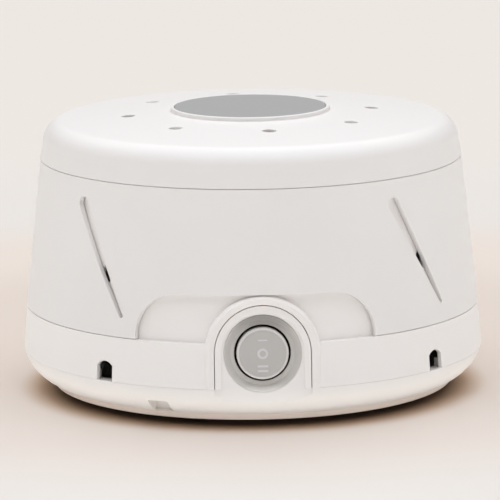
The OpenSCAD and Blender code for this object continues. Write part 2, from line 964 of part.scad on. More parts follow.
// Half section of the bezel: a flat ring around the rocker in a wall that opens outwards
module bezel_section() {
    hole_r = rocker_r + rocker_gap;
    polygon([
        [hole_r, 0],
        [bezel_r, 0],
        [dish_r - seat_fit, dish_depth],
        [dish_r - seat_fit - bezel_rim, dish_depth],
        [hole_r + bezel_flat, bezel_t],
        [hole_r, bezel_t]
    ]);
}

module switch_bezel() {
    color(grey)
        on_face()
            translate([0, 0, dish_floor])
                rotate_extrude($fn = round_fn)
                    bezel_section();
}

module switch_body() {
    color(black)
        on_face()
            translate([0, 0, dish_floor - switch_depth])
                difference() {
                    cylinder(r = body_tube_r, h = switch_depth, $fn = round_fn);
                    translate([0, 0, switch_depth - well_depth])
                        cylinder(r = rocker_r + rocker_gap, h = well_depth + past, $fn = round_fn);
                    translate([0, 0, pivot_h - dish_floor + switch_depth])
                        rotate([0, 90, 0])
                            cylinder(r = pin_r + pin_fit, h = 4 * rocker_r, center = true, $fn = small_fn);
                    for (i = [-1:1])
                        translate([0, i * terminal_pitch, 0])
                            cube([terminal_w, terminal_t, 2 * terminal_in], center = true);
                }
}

module switch_terminals() {
    color([0.80, 0.66, 0.36])
        on_face()
            translate([0, 0, dish_floor - switch_depth])
                for (i = [-1:1])
                    translate([-terminal_w / 2, i * terminal_pitch - terminal_t / 2, terminal_in - terminal_l])
                        difference() {
                            cube([terminal_w, terminal_t, terminal_l]);
                            translate([terminal_w / 2, 0, 1.6])
                                rotate([90, 0, 0])
                                    cylinder(r = 0.7, h = 4, center = true, $fn = small_fn);
                        }
}

module rocker_button() {
    color(grey)
        on_face() {
            translate([0, 0, rocker_face - rocker_depth])
                cylinder(r = rocker_r, h = rocker_depth - rocker_bevel, $fn = round_fn);
            translate([0, 0, rocker_face - rocker_bevel])
                cylinder(r1 = rocker_r, r2 = rocker_r - rocker_bevel, h = rocker_bevel, $fn = round_fn);
            translate([0, 0, pivot_h])
                rotate([0, 90, 0])
                    cylinder(r = pin_r, h = 2 * (body_tube_r - 0.15), center = true, $fn = small_fn);
        }
}

module cord_bush() {
    color(black)
        difference() {
            union() {
                at_inlet(body_r - bush_seat + bush_flange_t)
                    linear_extrude(bush_flange_t)
                        bush_outline(bush_flange);
                at_inlet(body_r - bush_seat)
                    linear_extrude(ring_wall + bush_in)
                        bush_outline(0);
            }
            translate([0, body_r + 2 * past + bush_flange_t, bush_z])
                rotate([90, 0, 0])
                    cylinder(r = cord_hole_r, h = body_r / 2, $fn = small_fn);
        }
}

// Outline of the motor's laminations: two arms, a leg for the coil, and pole slits
module stack_outline() {
    slit = 1.2;
    difference() {
        translate([-stack_half, stack_front])
            square([2 * stack_half, leg_back - stack_front]);
        circle(stack_bore, $fn = round_fn);
        translate([-window_half, window_front])
            square([2 * window_half, leg_front - window_front]);
        translate([-slit / 2, 0])
            square([slit, window_front + past]);
        translate([-slit / 2, stack_front + 2])
            square([slit, -stack_front]);
        for (x = [-screw_x, screw_x], y = [-screw_y, screw_y])
            translate([x, y])
                circle(motor_screw_r, $fn = small_fn);
        shading_places()
            for (x = [-1, 1])
                translate([x * shading_half, 0])
                    circle(shading_r, $fn = small_fn);
    }
}

// Each pole carries one copper ring on each of its two tips
shading_half = 2.2;
shading_r = 1;
module shading_places() {
    for (a = [50, 130, 230, 310])
        rotate([0, 0, a])
            translate([stack_bore + shading_half + 2, 0])
                children();
}

module stator_stack() {
    color(steel)
        translate([0, 0, stack_z])
            linear_extrude(stack_h)
                stack_outline();
}

module shading_rings() {
    bar = 2 * shading_r;
    color(copper)
        translate([0, 0, stack_z])
            shading_places() {
                for (x = [-1, 1])
                    translate([x * shading_half, 0, -bar])
                        cylinder(r = shading_r, h = stack_h + 2 * bar, $fn = small_fn);
                for (z = [-shading_r, stack_h + shading_r])
                    translate([-shading_half, 0, z])
                        rotate([0, 90, 0])
                            cylinder(r = shading_r, h = 2 * shading_half, $fn = small_fn);
            }
}

// Places a child on the coil's leg, with its +Z along the leg
module on_leg() {
    translate([0, (leg_front + leg_back) / 2, stack_z + stack_h / 2])
        rotate([90, 0, 90])
            children();
}

module coil_bobbin() {
    leg_w = leg_back - leg_front + 2 * bobbin_gap;
    leg_h = stack_h + 2 * bobbin_gap;
    long = 2 * (window_half - bobbin_gap);
    color([0.85, 0.84, 0.78])
        on_leg()
            difference() {
                union() {
                    linear_extrude(long, center = true)
                        square([leg_w + 2 * bobbin_t, leg_h + 2 * bobbin_t], center = true);
                    for (side = [-1, 1])
                        translate([0, 0, side * (long - bobbin_t) / 2])
                            linear_extrude(bobbin_t, center = true)
                                round_box(leg_w + 2 * coil_t + 2, leg_h + 2 * coil_t + 3, 2);
                }
                linear_extrude(long + 2 * past, center = true)
                    square([leg_w, leg_h], center = true);
            }
}

module motor_coil() {
    leg_w = leg_back - leg_front + 2 * bobbin_gap + 2 * bobbin_t;
    leg_h = stack_h + 2 * bobbin_gap + 2 * bobbin_t;
    long = 2 * (window_half - bobbin_gap - bobbin_t);
    turns_t = coil_t - bobbin_t;
    color(copper)
        on_leg()
            linear_extrude(long, center = true)
                difference() {
                    round_box(leg_w + 2 * turns_t, leg_h + 2 * turns_t, turns_t);
                    square([leg_w, leg_h], center = true);
                }
}

// Pressed plate that carries the motor, with the lower bearing's cup
module motor_plate() {
    color(steel)
        difference() {
            union() {
                translate([0, (mount_front + mount_back) / 2, plate_z])
                    linear_extrude(plate_t)
                        round_box(2 * (mount_x + 8), mount_back - mount_front + 14, 6);
                translate([0, 0, low_bearing_z])
                    cylinder(r = bearing_r + cup_wall, h = bearing_l, $fn = round_fn);
            }
            translate([0, 0, low_bearing_z - past])
                cylinder(r = bearing_r, h = bearing_l + 2 * past, $fn = round_fn);
            motor_screw_places()
                translate([0, 0, plate_z - past])
                    cylinder(r = motor_screw_r, h = plate_t + 2 * past, $fn = small_fn);
            mount_places()
                translate([0, 0, plate_z - past])
                    cylinder(r = grommet_waist, h = plate_t + 2 * past, $fn = round_fn);
        }
}

module motor_screw_places() {
    for (x = [-screw_x, screw_x], y = [-screw_y, screw_y])
        translate([x, y, 0])
            children();
}

module motor_spacers() {
    color(steel)
        motor_screw_places()
            translate([0, 0, plate_z + plate_t])
                tube(motor_screw_r + 1.4, motor_screw_r, stack_z - plate_z - plate_t);
}

// Sheet bridge over the rotor, with the upper bearing's cup
module bearing_bridge() {
    foot_w = stack_half - bridge_half;
    depth = 2 * (screw_y + bridge_margin);
    color(steel)
        difference() {
            union() {
                for (side = [0, 1])
                    mirror([side, 0, 0]) {
                        translate([bridge_half, -depth / 2, stack_top])
                            cube([foot_w, depth, bridge_t]);
                        translate([bridge_half, -depth / 2, stack_top])
                            cube([bridge_t, depth, bridge_rise + bridge_t]);
                    }
                translate([-bridge_half, -depth / 2, bridge_z])
                    cube([2 * bridge_half, depth, bridge_t]);
                translate([0, 0, bridge_z - 1])
                    cylinder(r = bearing_r + cup_wall, h = bearing_l, $fn = round_fn);
            }
            translate([0, 0, bridge_z - 1 - past])
                cylinder(r = bearing_r, h = bearing_l + 2 * past, $fn = round_fn);
            motor_screw_places()
                translate([0, 0, stack_top - past])
                    cylinder(r = motor_screw_r, h = bridge_t + 2 * past, $fn = small_fn);
        }
}

module bearings() {
    color([0.66, 0.55, 0.38])
        for (z = [low_bearing_z, bridge_z - 1])
            translate([0, 0, z])
                tube(bearing_r, shaft_r + shaft_fit, bearing_l);
}

module motor_screws() {
    top = stack_top + bridge_t;
    color(steel)
        motor_screw_places()
            translate([0, 0, top])
                screw(motor_screw_r, top - plate_z, 2.9, 2);
}

module rubber_mounts() {
    color(black)
        mount_places() {
            translate([0, 0, plate_z - grommet_lip])
                tube(grommet_r, mount_screw_r, grommet_lip);
            translate([0, 0, plate_z])
                tube(grommet_waist, mount_screw_r, plate_t);
            translate([0, 0, plate_z + plate_t])
                tube(grommet_r, mount_screw_r, grommet_lip);
        }
}

module mount_screws() {
    top = plate_z + plate_t + grommet_lip;
    color(steel)
        mount_places()
            translate([0, 0, top])
                screw(mount_screw_r, top - floor_z - 2, mount_head_r, mount_head_h);
}

// A lead from terminal i, down to the pan's floor and along it to the coil
module lead(i, drop, turn) {
    tip = dish_floor - switch_depth + terminal_in - terminal_l;
    start_y = -face_y - tip * cos(tongue_tilt) + i * terminal_pitch * sin(tongue_tilt) + lead_gap;
    start_z = switch_z + tip * sin(tongue_tilt) + i * terminal_pitch * cos(tongue_tilt);
    run = (leg_front + leg_back) / 2 + 4 - start_y;
    coil_low = stack_z - bobbin_gap - coil_t;
    translate([0, start_y, 0])
        rotate([0, 0, turn]) {
            lead_straight([0, start_z], 90, drop - lead_bend);
            lead_elbow([drop - lead_bend, start_z - lead_bend], 0);
            lead_straight([drop, lead_z + lead_bend], 0, start_z - lead_z - 2 * lead_bend);
            lead_elbow([drop + lead_bend, lead_z + lead_bend], 180);
            lead_straight([drop + lead_bend, lead_z], 90, run - drop - 2 * lead_bend);
            lead_elbow([run - lead_bend, lead_z + lead_bend], 270);
            lead_straight([run, lead_z + lead_bend], 0, coil_low - lead_z - lead_bend);
        }
}

// A straight piece of lead from a point of its upright plane, along Y (90) or up (0)
module lead_straight(from, way, length) {
    translate([0, from[0], from[1]])
        rotate([-way, 0, 0])
            cylinder(r = lead_r, h = length, $fn = small_fn);
}

// A quarter bend around a point of that plane, starting at an angle from +Y
module lead_elbow(c, start) {
    translate([0, c[0], c[1]])
        rotate([0, 0, 90])
            rotate([90, 0, 0])
                rotate([0, 0, start])
                    rotate_extrude(angle = 90, $fn = small_fn)
                        translate([lead_bend, 0])
                            circle(lead_r, $fn = small_fn);
}

module motor_leads() {
    color(black) {
        lead(1, 8.5, -lead_spread);
        lead(0, 4.5, lead_spread);
    }
}

module motor_shaft() {
    color(steel)
        translate([0, 0, shaft_low_z])
            cylinder(r = shaft_r, h = shaft_top_z - shaft_low_z, $fn = round_fn);
}

module rotor_core() {
    color(steel)
        translate([0, 0, stack_z - rotor_over])
            tube(rotor_r, shaft_r, stack_h + 2 * rotor_over);
}

// One curved blade, from the middle of the disc to just inside its rim
module blade() {
    linear_extrude(blade_h)
        intersection() {
            difference() {
                circle(fan_r - blade_inset, $fn = round_fn);
                circle(blade_in_r, $fn = round_fn);
            }
            translate([blade_in_r, -blade_curve])
                difference() {
                    circle(blade_curve, $fn = round_fn);
                    circle(blade_curve - blade_t, $fn = round_fn);
                }
            translate([0, -fan_r])
                square(2 * fan_r);
        }
}

module fan_impeller() {
    spoke_in = fan_hub_r + 3;
    color([0.20, 0.21, 0.22])
        translate([0, 0, fan_z])
            difference() {
                union() {
                    cylinder(r = fan_r, h = fan_disc_t, $fn = round_fn);
                    cylinder(r = fan_hub_r, h = fan_hub_h, $fn = round_fn);
                    for (i = [0:blade_count - 1])
                        rotate([0, 0, 360 * i / blade_count])
                            translate([0, 0, fan_disc_t])
                                blade();
                    // The blades reach up into the ring
                    translate([0, 0, fan_disc_t + blade_h - fan_ring_t / 2])
                        tube(fan_r, fan_r - fan_ring_w, fan_ring_t);
                }
                // Holes that let air through the disc
                for (i = [0:5])
                    rotate([0, 0, 60 * i])
                        translate([spoke_in + 5, 0, -past])
                            cylinder(r = 4.5, h = fan_disc_t + 2 * past, $fn = small_fn);
                translate([0, 0, -past])
                    cylinder(r = shaft_r, h = fan_hub_h + 2 * past, $fn = round_fn);
            }
}

module fan_clip() {
    color(steel)
        translate([0, 0, fan_z + fan_hub_h])
            tube(shaft_r + 2, shaft_r, clip_t);
}

base_pan();
feet();
case_screws();
housing();
collar();
top_cap();
cap_disc();
cap_screw();
cap_washer();
switch_bezel();
switch_body();
switch_terminals();
rocker_button();
cord_bush();
stator_stack();
shading_rings();
coil_bobbin();
motor_coil();
motor_plate();
motor_spacers();
bearing_bridge();
bearings();
motor_screws();
rubber_mounts();
mount_screws();
motor_leads();
motor_shaft();
rotor_core();
fan_impeller();
fan_clip();
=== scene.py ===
# %% [markdown]
# # A fan sound machine in white plastic
#
# The object is a round housing that hides a small motor and a fan. Air leaves through leaning
# slots and through holes in the cap, and turning the collar or the cap changes the sound. The
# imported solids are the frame: they say where every piece is. This lesson dresses that frame.
# Pieces inside stay as they are and get a finish, and the shells that a person sees and
# touches are modelled again with soft edges, because a moulded edge is never knife sharp.

# %% Load the frame
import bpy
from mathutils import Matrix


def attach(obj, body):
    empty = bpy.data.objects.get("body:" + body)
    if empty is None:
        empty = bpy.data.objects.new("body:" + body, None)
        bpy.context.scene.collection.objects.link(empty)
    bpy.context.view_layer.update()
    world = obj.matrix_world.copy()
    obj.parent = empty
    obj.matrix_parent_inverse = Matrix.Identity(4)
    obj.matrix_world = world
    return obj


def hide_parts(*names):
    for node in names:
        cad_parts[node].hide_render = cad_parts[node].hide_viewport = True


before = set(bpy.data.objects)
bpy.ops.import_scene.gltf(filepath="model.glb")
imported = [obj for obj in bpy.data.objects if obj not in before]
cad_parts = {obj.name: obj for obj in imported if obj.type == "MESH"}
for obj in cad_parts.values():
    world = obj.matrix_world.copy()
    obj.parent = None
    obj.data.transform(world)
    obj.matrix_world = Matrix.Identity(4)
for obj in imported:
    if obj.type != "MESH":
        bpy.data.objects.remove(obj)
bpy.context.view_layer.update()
print("nodes in the frame:", len(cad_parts))

# %% Modules for meshes, numbers and places
from math import asin, atan2, cos, degrees, hypot, pi, radians, sin, sqrt, tan

import bmesh
import bpy
from mathutils import Matrix, Vector

MM = 0.001
print("one millimetre is", MM, "metres")

# %% [markdown]
# ## Camera
#
# The camera comes first, because every later choice is judged through it. A long lens from
# more than a metre away keeps the round body free of distortion, and a slight tilt down
# shows the cap. Its place and its three angles are plain numbers. The camera's axes are
# built from the angles: where it looks, then its right side, then its upper side.

# %% Camera
CAMERA_AT = Vector((-0.05827, -1.36187, 0.29881))
CAMERA_TURN = 0.042347
CAMERA_DIP = 0.18547
CAMERA_LEAN = -0.011532
FRAME_SIDE = 500
FOCUS_IN_PIXELS = 4347.7
FILM_WIDTH = 36


def camera_axes(turn, dip, lean):
    """Right, up and forward of a camera that turns, looks down and leans."""
    forward = Vector((sin(turn) * cos(dip), cos(turn) * cos(dip), -sin(dip)))
    side = Vector((cos(turn), -sin(turn), 0))
    top = side.cross(forward)
    right = cos(lean) * side + sin(lean) * top
    up = cos(lean) * top - sin(lean) * side
    return right, up, forward


right, up, forward = camera_axes(CAMERA_TURN, CAMERA_DIP, CAMERA_LEAN)
camera_data = bpy.data.cameras.new("camera")
camera_data.sensor_width = FILM_WIDTH
camera_data.lens = FILM_WIDTH * FOCUS_IN_PIXELS / FRAME_SIDE
camera_data.clip_start = 0.05
camera_data.clip_end = 50
camera = bpy.data.objects.new("camera", camera_data)
bpy.context.scene.collection.objects.link(camera)
camera.matrix_world = Matrix((
    (right.x, up.x, -forward.x, CAMERA_AT.x),
    (right.y, up.y, -forward.y, CAMERA_AT.y),
    (right.z, up.z, -forward.z, CAMERA_AT.z),
    (0, 0, 0, 1),
))
bpy.context.scene.camera = camera
bpy.context.scene.view_settings.view_transform = "Standard"
print(f"lens {camera_data.lens:.1f} mm, looking down {CAMERA_DIP / pi * 180:.1f} degrees")

# %% [markdown]
# ## A small language for finishes
#
# A finish is a graph of nodes, and graphs written link by link are hard to read. Two small
# classes make them read like sums. A Field is one socket whose value changes over the
# surface, and adding, subtracting or multiplying fields adds the Math nodes for it. A Finish
# is a material with a single method for any other node: it sets the node's settings first and
# then fills or links its sockets.


# %% Fields and finishes
class Field:
    """A value that changes over the surface. Python's sums on it become Math nodes."""

    def __init__(self, finish, socket):
        self.finish = finish
        self.socket = socket

    def math(self, operation, first, second):
        return self.finish.node("Math", {"operation": operation}, {0: first, 1: second})

    def __add__(self, other):
        return self.math("ADD", self, other)

    def __radd__(self, other):
        return self.math("ADD", other, self)

    def __sub__(self, other):
        return self.math("SUBTRACT", self, other)

    def __rsub__(self, other):
        return self.math("SUBTRACT", other, self)

    def __mul__(self, other):
        return self.math("MULTIPLY", self, other)

    def __rmul__(self, other):
        return self.math("MULTIPLY", other, self)


class Finish:
    """A material and the one way to add nodes to it."""

    def __init__(self, name):
        self.material = bpy.data.materials.new(name)
        self.material.use_nodes = True
        self.tree = self.material.node_tree
        self.tree.nodes.clear()
        self.place = self.node("TexCoord", out="Object")

    def node(self, kind, settings=None, sockets=None, out=0):
        """Adds a node, sets it up, fills or links its sockets and hands back one output."""
        made = self.tree.nodes.new("ShaderNode" + kind)
        for key, value in (settings or {}).items():
            setattr(made, key, value)
        for key, value in (sockets or {}).items():
            if isinstance(value, Field):
                self.tree.links.new(value.socket, made.inputs[key])
            else:
                made.inputs[key].default_value = value
        return Field(self, made.outputs[out])

    def grain(self, scale, detail=2.0, stretch=(1, 1, 1)):
        """Noise on the piece's own coordinates; scale counts waves in a metre."""
        place = self.node("Mapping", None, {"Vector": self.place, "Scale": stretch})
        return self.node("TexNoise", None, {"Vector": place, "Scale": scale, "Detail": detail})

    def between(self, amount, first, second):
        """A colour on the way from the first to the second."""
        return self.node("Mix", {"data_type": "RGBA"}, {0: amount, 6: first, 7: second}, out=2)

    def relief(self, height, depth, strength=1.0):
        """A bump whose depth is in metres."""
        return self.node("Bump", None, {"Height": height, "Distance": depth, "Strength": strength})

    def surface(self, **sockets):
        """Ends the graph in one Principled shader with these sockets."""
        named = {key.replace("_", " "): value for key, value in sockets.items()}
        shader = self.node("BsdfPrincipled", None, named)
        output = self.tree.nodes.new("ShaderNodeOutputMaterial")
        self.tree.links.new(shader.socket, output.inputs["Surface"])
        print("finish:", self.material.name)
        return self.material


def shade(red, green, blue):
    """A colour for a socket, from the 0 to 255 values that a screen shows."""
    def linear(value):
        value /= 255
        return value / 12.92 if value <= 0.04045 else ((value + 0.055) / 1.055) ** 2.4
    return (linear(red), linear(green), linear(blue), 1)


print("a screen grey of 128 is", round(shade(128, 128, 128)[0], 3), "for the shader")

# %% [markdown]
# ## Moulded plastic
#
# The shells are injection moulded in a slightly warm white with a satin skin. Such a skin has
# two scales: a spark eroded grain of about a third of a millimetre that breaks up highlights,
# and a slow unevenness from cooling that changes the gloss from place to place. Both come from
# noise, the first as relief and roughness and the second as a very small shift of colour.
# Some colours also change over a piece, and these changes are painted light and shade. The
# pan's bowl is painted paler and warmer towards its foot, as light from the table would make it,
# and the bezel is painted dark at its top, where shade falls, and pale at its lowest edge, where
# light falls; there a height mixes in the next colour. The rocker has a painted highlight along
# its rim, and there the distance from the middle of its face does.


# %% Plastics
DRIFT_WAVES = 22
ROCKER_MIDDLE = (0, -70.3, 24.1)


def moulded(name, light, dark, gloss, grain_scale, grain_depth, changes=(), centre=None):
    """Moulded plastic with a fine grain and a slow drift of colour and gloss. In each change a new
    colour takes over between two heights, or two distances from a centre, in mm; these changes
    paint light and shade."""
    finish = Finish(name)
    drift = finish.grain(DRIFT_WAVES, 3)
    grain = finish.grain(grain_scale, 2)
    colour = finish.between(drift, shade(*light), shade(*dark))
    if centre:
        way = finish.node("VectorMath", {"operation": "DISTANCE"},
                          {0: finish.place, 1: [part * MM for part in centre]}, out="Value")
    elif changes:
        way = finish.node("SeparateXYZ", None, {0: finish.place}, out="Z")
    for other, start, end in changes:
        amount = finish.node("MapRange", {"interpolation_type": "SMOOTHSTEP"}, {
            "Value": way, "From Min": start * MM, "From Max": end * MM})
        colour = finish.between(amount, colour, shade(*other))
    return finish.surface(
        Base_Color=colour,
        Roughness=gloss + 0.10 * drift + 0.06 * grain,
        Normal=finish.relief(grain, grain_depth),
    )


white_shell = moulded("white_shell", (237, 234, 232), (232, 228, 226), 0.36, 2600, 0.000012)
# white_base_painted_light is paler than white_shell, and paler and warmer still towards the pan's
# foot: painted light on the base and the pan, standing in for the light that the table throws up
# on the bowl.
white_base_painted_light = moulded("white_base_painted_light", (244, 240, 238), (240, 235, 232), 0.36, 2600, 0.000012,
                     [((255, 250, 245), 15, 8), ((255, 242, 231), 4.8, 3.6)])
grey_disc = moulded("grey_disc", (161, 160, 160), (156, 155, 155), 0.52, 3200, 0.000015)
# grey_switch turns paler along the rocker's rim: a painted highlight on its bevel, where a glossy
# edge catches light from above.
grey_switch = moulded("grey_switch", (191, 188, 185), (185, 182, 179), 0.24, 2800, 0.000008,
                      [((226, 222, 219), 7.0, 7.5)], centre=ROCKER_MIDDLE)
# The bezel's grey is painted shade at its top, where its wall faces down, and painted light
# towards its lowest edge, which faces up.
grey_bezel_painted_light_and_shade = moulded("grey_bezel_painted_light_and_shade", (160, 156, 153), (155, 151, 148), 0.42, 2800, 0.000008,
                     [((209, 205, 201), 36, 29), ((236, 232, 228), 14.8, 12.6)])
black_plastic = moulded("black_plastic", (22, 22, 23), (14, 14, 15), 0.45, 2400, 0.00001)
mark_paint = moulded("mark_paint", (216, 213, 214), (208, 205, 206), 0.55, 3000, 0.000004)
bobbin_nylon = moulded("bobbin_nylon", (226, 221, 204), (214, 208, 190), 0.42, 1800, 0.00001)
fan_plastic = moulded("fan_plastic", (62, 64, 67), (50, 52, 55), 0.40, 2000, 0.00001)

# %% [markdown]
# ## Rubber, metal and wire
#
# Rubber is dull and a little dusty, so its colour and roughness follow a fine noise. Zinc
# plate is a grey metal with soft cloudy spangles. A stack of laminations shows its sheets as
# thin lines, which are bands along the height. Wound wire is the same idea with a finer pitch
# and a round profile, so a sine of the height drives both its colour and its relief.


# %% Rubber and metals
SCRATCH_WAVES, SCRATCH_DEPTH = 900, 0.000006
DUST_WAVES, DUST_DEPTH = 1400, 0.00003
TARNISH_WAVES = 160


def metal(name, light, dark, gloss, cloud_scale):
    """Metal whose brightness and gloss drift in soft clouds."""
    finish = Finish(name)
    cloud = finish.grain(cloud_scale, 4)
    scratch = finish.grain(SCRATCH_WAVES, 3, stretch=(1, 1, 12))
    return finish.surface(
        Base_Color=finish.between(cloud, shade(*light), shade(*dark)),
        Metallic=1.0,
        Roughness=gloss + 0.12 * cloud + 0.08 * scratch,
        Normal=finish.relief(scratch, SCRATCH_DEPTH),
    )


def layered(name, light, dark, gloss, pitch, depth):
    """Metal in thin layers across the height: laminations, or turns of wire."""
    finish = Finish(name)
    height = finish.node("SeparateXYZ", None, {0: finish.place}, out="Z")
    wave = finish.node("Math", {"operation": "SINE"}, {0: height * (2 * pi / pitch)})
    band = 0.5 + 0.5 * wave
    cloud = finish.grain(TARNISH_WAVES, 3)
    return finish.surface(
        Base_Color=finish.between(band * (0.75 + 0.25 * cloud), shade(*dark), shade(*light)),
        Metallic=1.0,
        Roughness=gloss + 0.15 * cloud,
        Normal=finish.relief(band, depth),
    )


def rubber(name, light, dark):
    """Dull rubber with a dusty skin."""
    finish = Finish(name)
    dust = finish.grain(DUST_WAVES, 4)
    return finish.surface(
        Base_Color=finish.between(dust, shade(*dark), shade(*light)),
        Roughness=0.72 + 0.15 * dust,
        Normal=finish.relief(dust, DUST_DEPTH),
    )


zinc_steel = metal("zinc_steel", (196, 198, 202), (168, 170, 176), 0.30, 420)
bronze = metal("bronze", (176, 146, 98), (140, 112, 72), 0.38, 900)
copper = metal("copper", (206, 132, 92), (176, 104, 70), 0.30, 300)
brass_tab = metal("brass_tab", (214, 190, 128), (188, 160, 98), 0.28, 500)
lamination = layered("lamination", (150, 152, 156), (70, 72, 76), 0.45, 0.0005, 0.00005)
enamelled_wire = layered("enamelled_wire", (190, 104, 58), (92, 40, 22), 0.32, 0.0003, 0.00006)
black_rubber = rubber("black_rubber", (34, 33, 32), (18, 18, 18))
lead_sleeve = rubber("lead_sleeve", (30, 30, 32), (20, 20, 22))

# %% [markdown]
# ## Finishes on the frame's own pieces
#
# The pieces inside have the right shape already, so they stay and only change their
# material. Every node is named here with its finish, which also makes the list easy to check.

# %% Dress the frame
NODE_FINISH = {
    "feet": black_rubber,
    "case_screws": zinc_steel,
    "cap_screw": zinc_steel,
    "cap_washer": black_plastic,
    "switch_body": black_plastic,
    "switch_terminals": brass_tab,
    "cord_bush": black_plastic,
    "stator_stack": lamination,
    "shading_rings": copper,
    "coil_bobbin": bobbin_nylon,
    "motor_coil": enamelled_wire,
    "motor_plate": zinc_steel,
    "motor_spacers": zinc_steel,
    "bearing_bridge": zinc_steel,
    "bearings": bronze,
    "motor_screws": zinc_steel,
    "rubber_mounts": black_rubber,
    "mount_screws": zinc_steel,
    "motor_leads": lead_sleeve,
    "motor_shaft": zinc_steel,
    "rotor_core": lamination,
    "fan_impeller": fan_plastic,
    "fan_clip": zinc_steel,
}
for node_name, finish in NODE_FINISH.items():
    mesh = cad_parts[node_name].data
    mesh.materials.clear()
    mesh.materials.append(finish)
missing = sorted(set(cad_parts) - set(NODE_FINISH))
print("nodes without a finish:", missing)

# %% [markdown]
# ## Drawing flat, turning and rolling
#
# Most of this object is turned round one axis, so a half section is drawn and spun. Its walls
# also have slots, inlets and a window, and cutting those in a round wall leaves ragged edges
# that can't be softened. So a pierced wall is drawn flat on the table first: there a cut is
# clean and its edge takes an even round. Then the plate is sliced into narrow columns and
# rolled round the axis, as sheet metal would be. Lengths in these cells are in millimetres.

# %% Drawing helpers
TINY = 0.001 * MM
TURN_STEPS = 180
REACH = 70
PAST = 2
SHARP_ANGLE = 0.5


def half_section(points, rounds=()):
    """A half section as one flat face in X-Z. Each round is a corner's number, how far it is
    cut back along its two edges, and its steps."""
    bm = bmesh.new()
    corners = [bm.verts.new((x * MM, 0, z * MM)) for x, z in points]
    bm.faces.new(corners)
    for number, cut_back, steps in rounds:
        bmesh.ops.bevel(bm, geom=[corners[number]], offset=cut_back * MM, segments=steps,
                        profile=0.5, affect="VERTICES", material=-1)
    return bm


def turned(bm, steps=TURN_STEPS):
    """Spins the outline of a half section once round the Z axis."""
    bmesh.ops.delete(bm, geom=bm.faces[:], context="FACES_ONLY")
    axial = [edge for edge in bm.edges if all(abs(vert.co.x) < TINY for vert in edge.verts)]
    bmesh.ops.delete(bm, geom=axial, context="EDGES")
    bmesh.ops.spin(bm, geom=bm.verts[:] + bm.edges[:], cent=(0, 0, 0), axis=(0, 0, 1),
                   dvec=(0, 0, 0), angle=2 * pi, steps=steps, use_merge=True)
    bmesh.ops.remove_doubles(bm, verts=bm.verts[:], dist=TINY)
    bmesh.ops.recalc_face_normals(bm, faces=bm.faces[:])
    return bm


def panel(half_width, low, high, corner=0, steps=16):
    """A flat face in X-Y whose two upper corners may be round."""
    bm = bmesh.new()
    places = ((-half_width, low), (half_width, low), (half_width, high), (-half_width, high))
    corners = [bm.verts.new((x * MM, y * MM, 0)) for x, y in places]
    bm.faces.new(corners)
    if corner:
        bmesh.ops.bevel(bm, geom=corners[2:], offset=corner * MM, segments=steps, profile=0.5,
                        affect="VERTICES", material=-1)
        bmesh.ops.remove_doubles(bm, verts=bm.verts[:], dist=TINY)
    return bm


def thickened(bm, low, high):
    """Gives flat faces in X-Y a thickness between two heights."""
    bmesh.ops.translate(bm, verts=bm.verts[:], vec=(0, 0, low * MM))
    made = bmesh.ops.extrude_face_region(bm, geom=bm.faces[:])
    lifted = [part for part in made["geom"] if isinstance(part, bmesh.types.BMVert)]
    bmesh.ops.translate(bm, verts=lifted, vec=(0, 0, (high - low) * MM))
    bmesh.ops.recalc_face_normals(bm, faces=bm.faces[:])
    return bm


def moved(bm, matrix):
    """Moves a whole mesh by a matrix."""
    bmesh.ops.transform(bm, matrix=matrix, verts=bm.verts[:])
    return bm


def gathered(*parts):
    """Several meshes as the islands of one."""
    whole = bmesh.new()
    for part in parts:
        carrier = bpy.data.meshes.new("carrier")
        part.to_mesh(carrier)
        part.free()
        whole.from_mesh(carrier)
        bpy.data.meshes.remove(carrier)
    return whole


def combined(operation, bm, *tools):
    """Works tools into a solid with Boolean modifiers and returns the result."""
    standing = []
    for part in (bm, *tools):
        mesh = bpy.data.meshes.new("carrier")
        part.to_mesh(mesh)
        part.free()
        standing.append(bpy.data.objects.new("carrier", mesh))
        bpy.context.scene.collection.objects.link(standing[-1])
    solid = standing[0]
    for tool in standing[1:]:
        step = solid.modifiers.new("step", "BOOLEAN")
        step.solver = "EXACT"
        step.operation = operation
        step.object = tool
    ready = solid.evaluated_get(bpy.context.evaluated_depsgraph_get())
    result = bmesh.new()
    result.from_mesh(ready.to_mesh())
    ready.to_mesh_clear()
    for item in standing:
        mesh = item.data
        bpy.data.objects.remove(item)
        bpy.data.meshes.remove(mesh)
    return result


def cut(bm, *tools):
    """Takes tools away from a solid."""
    return combined("DIFFERENCE", bm, *tools)


def eased(bm, size, near, steps=3):
    """Rounds the sharp edges whose two points both pass a test."""
    sharp = [edge for edge in bm.edges
             if len(edge.link_faces) == 2 and edge.calc_face_angle() > SHARP_ANGLE
             and all(near(vert.co) for vert in edge.verts)]
    bmesh.ops.bevel(bm, geom=sharp, offset=size * MM, segments=steps, profile=0.5,
                    affect="EDGES", material=-1)
    return bm


def at_turn(degrees_round, radius, height=0):
    """Turns round the axis from the front, then goes out to a radius."""
    return (Matrix.Rotation(radians(degrees_round), 4, "Z")
            @ Matrix.Translation((0, -radius * MM, height * MM)))


def quarter_turns(first, start=0):
    """Four turns a quarter apart, in degrees. The start counts quarters from the first."""
    return [first + 90 * number for number in range(start, start + 4)]


def post(radius, low, high, place, steps=48):
    """An upright cylinder."""
    bm = bmesh.new()
    bmesh.ops.create_cone(bm, cap_ends=True, segments=steps, radius1=radius * MM,
                          radius2=radius * MM, depth=(high - low) * MM)
    bmesh.ops.translate(bm, verts=bm.verts[:], vec=(0, 0, (high + low) / 2 * MM))
    return moved(bm, place)


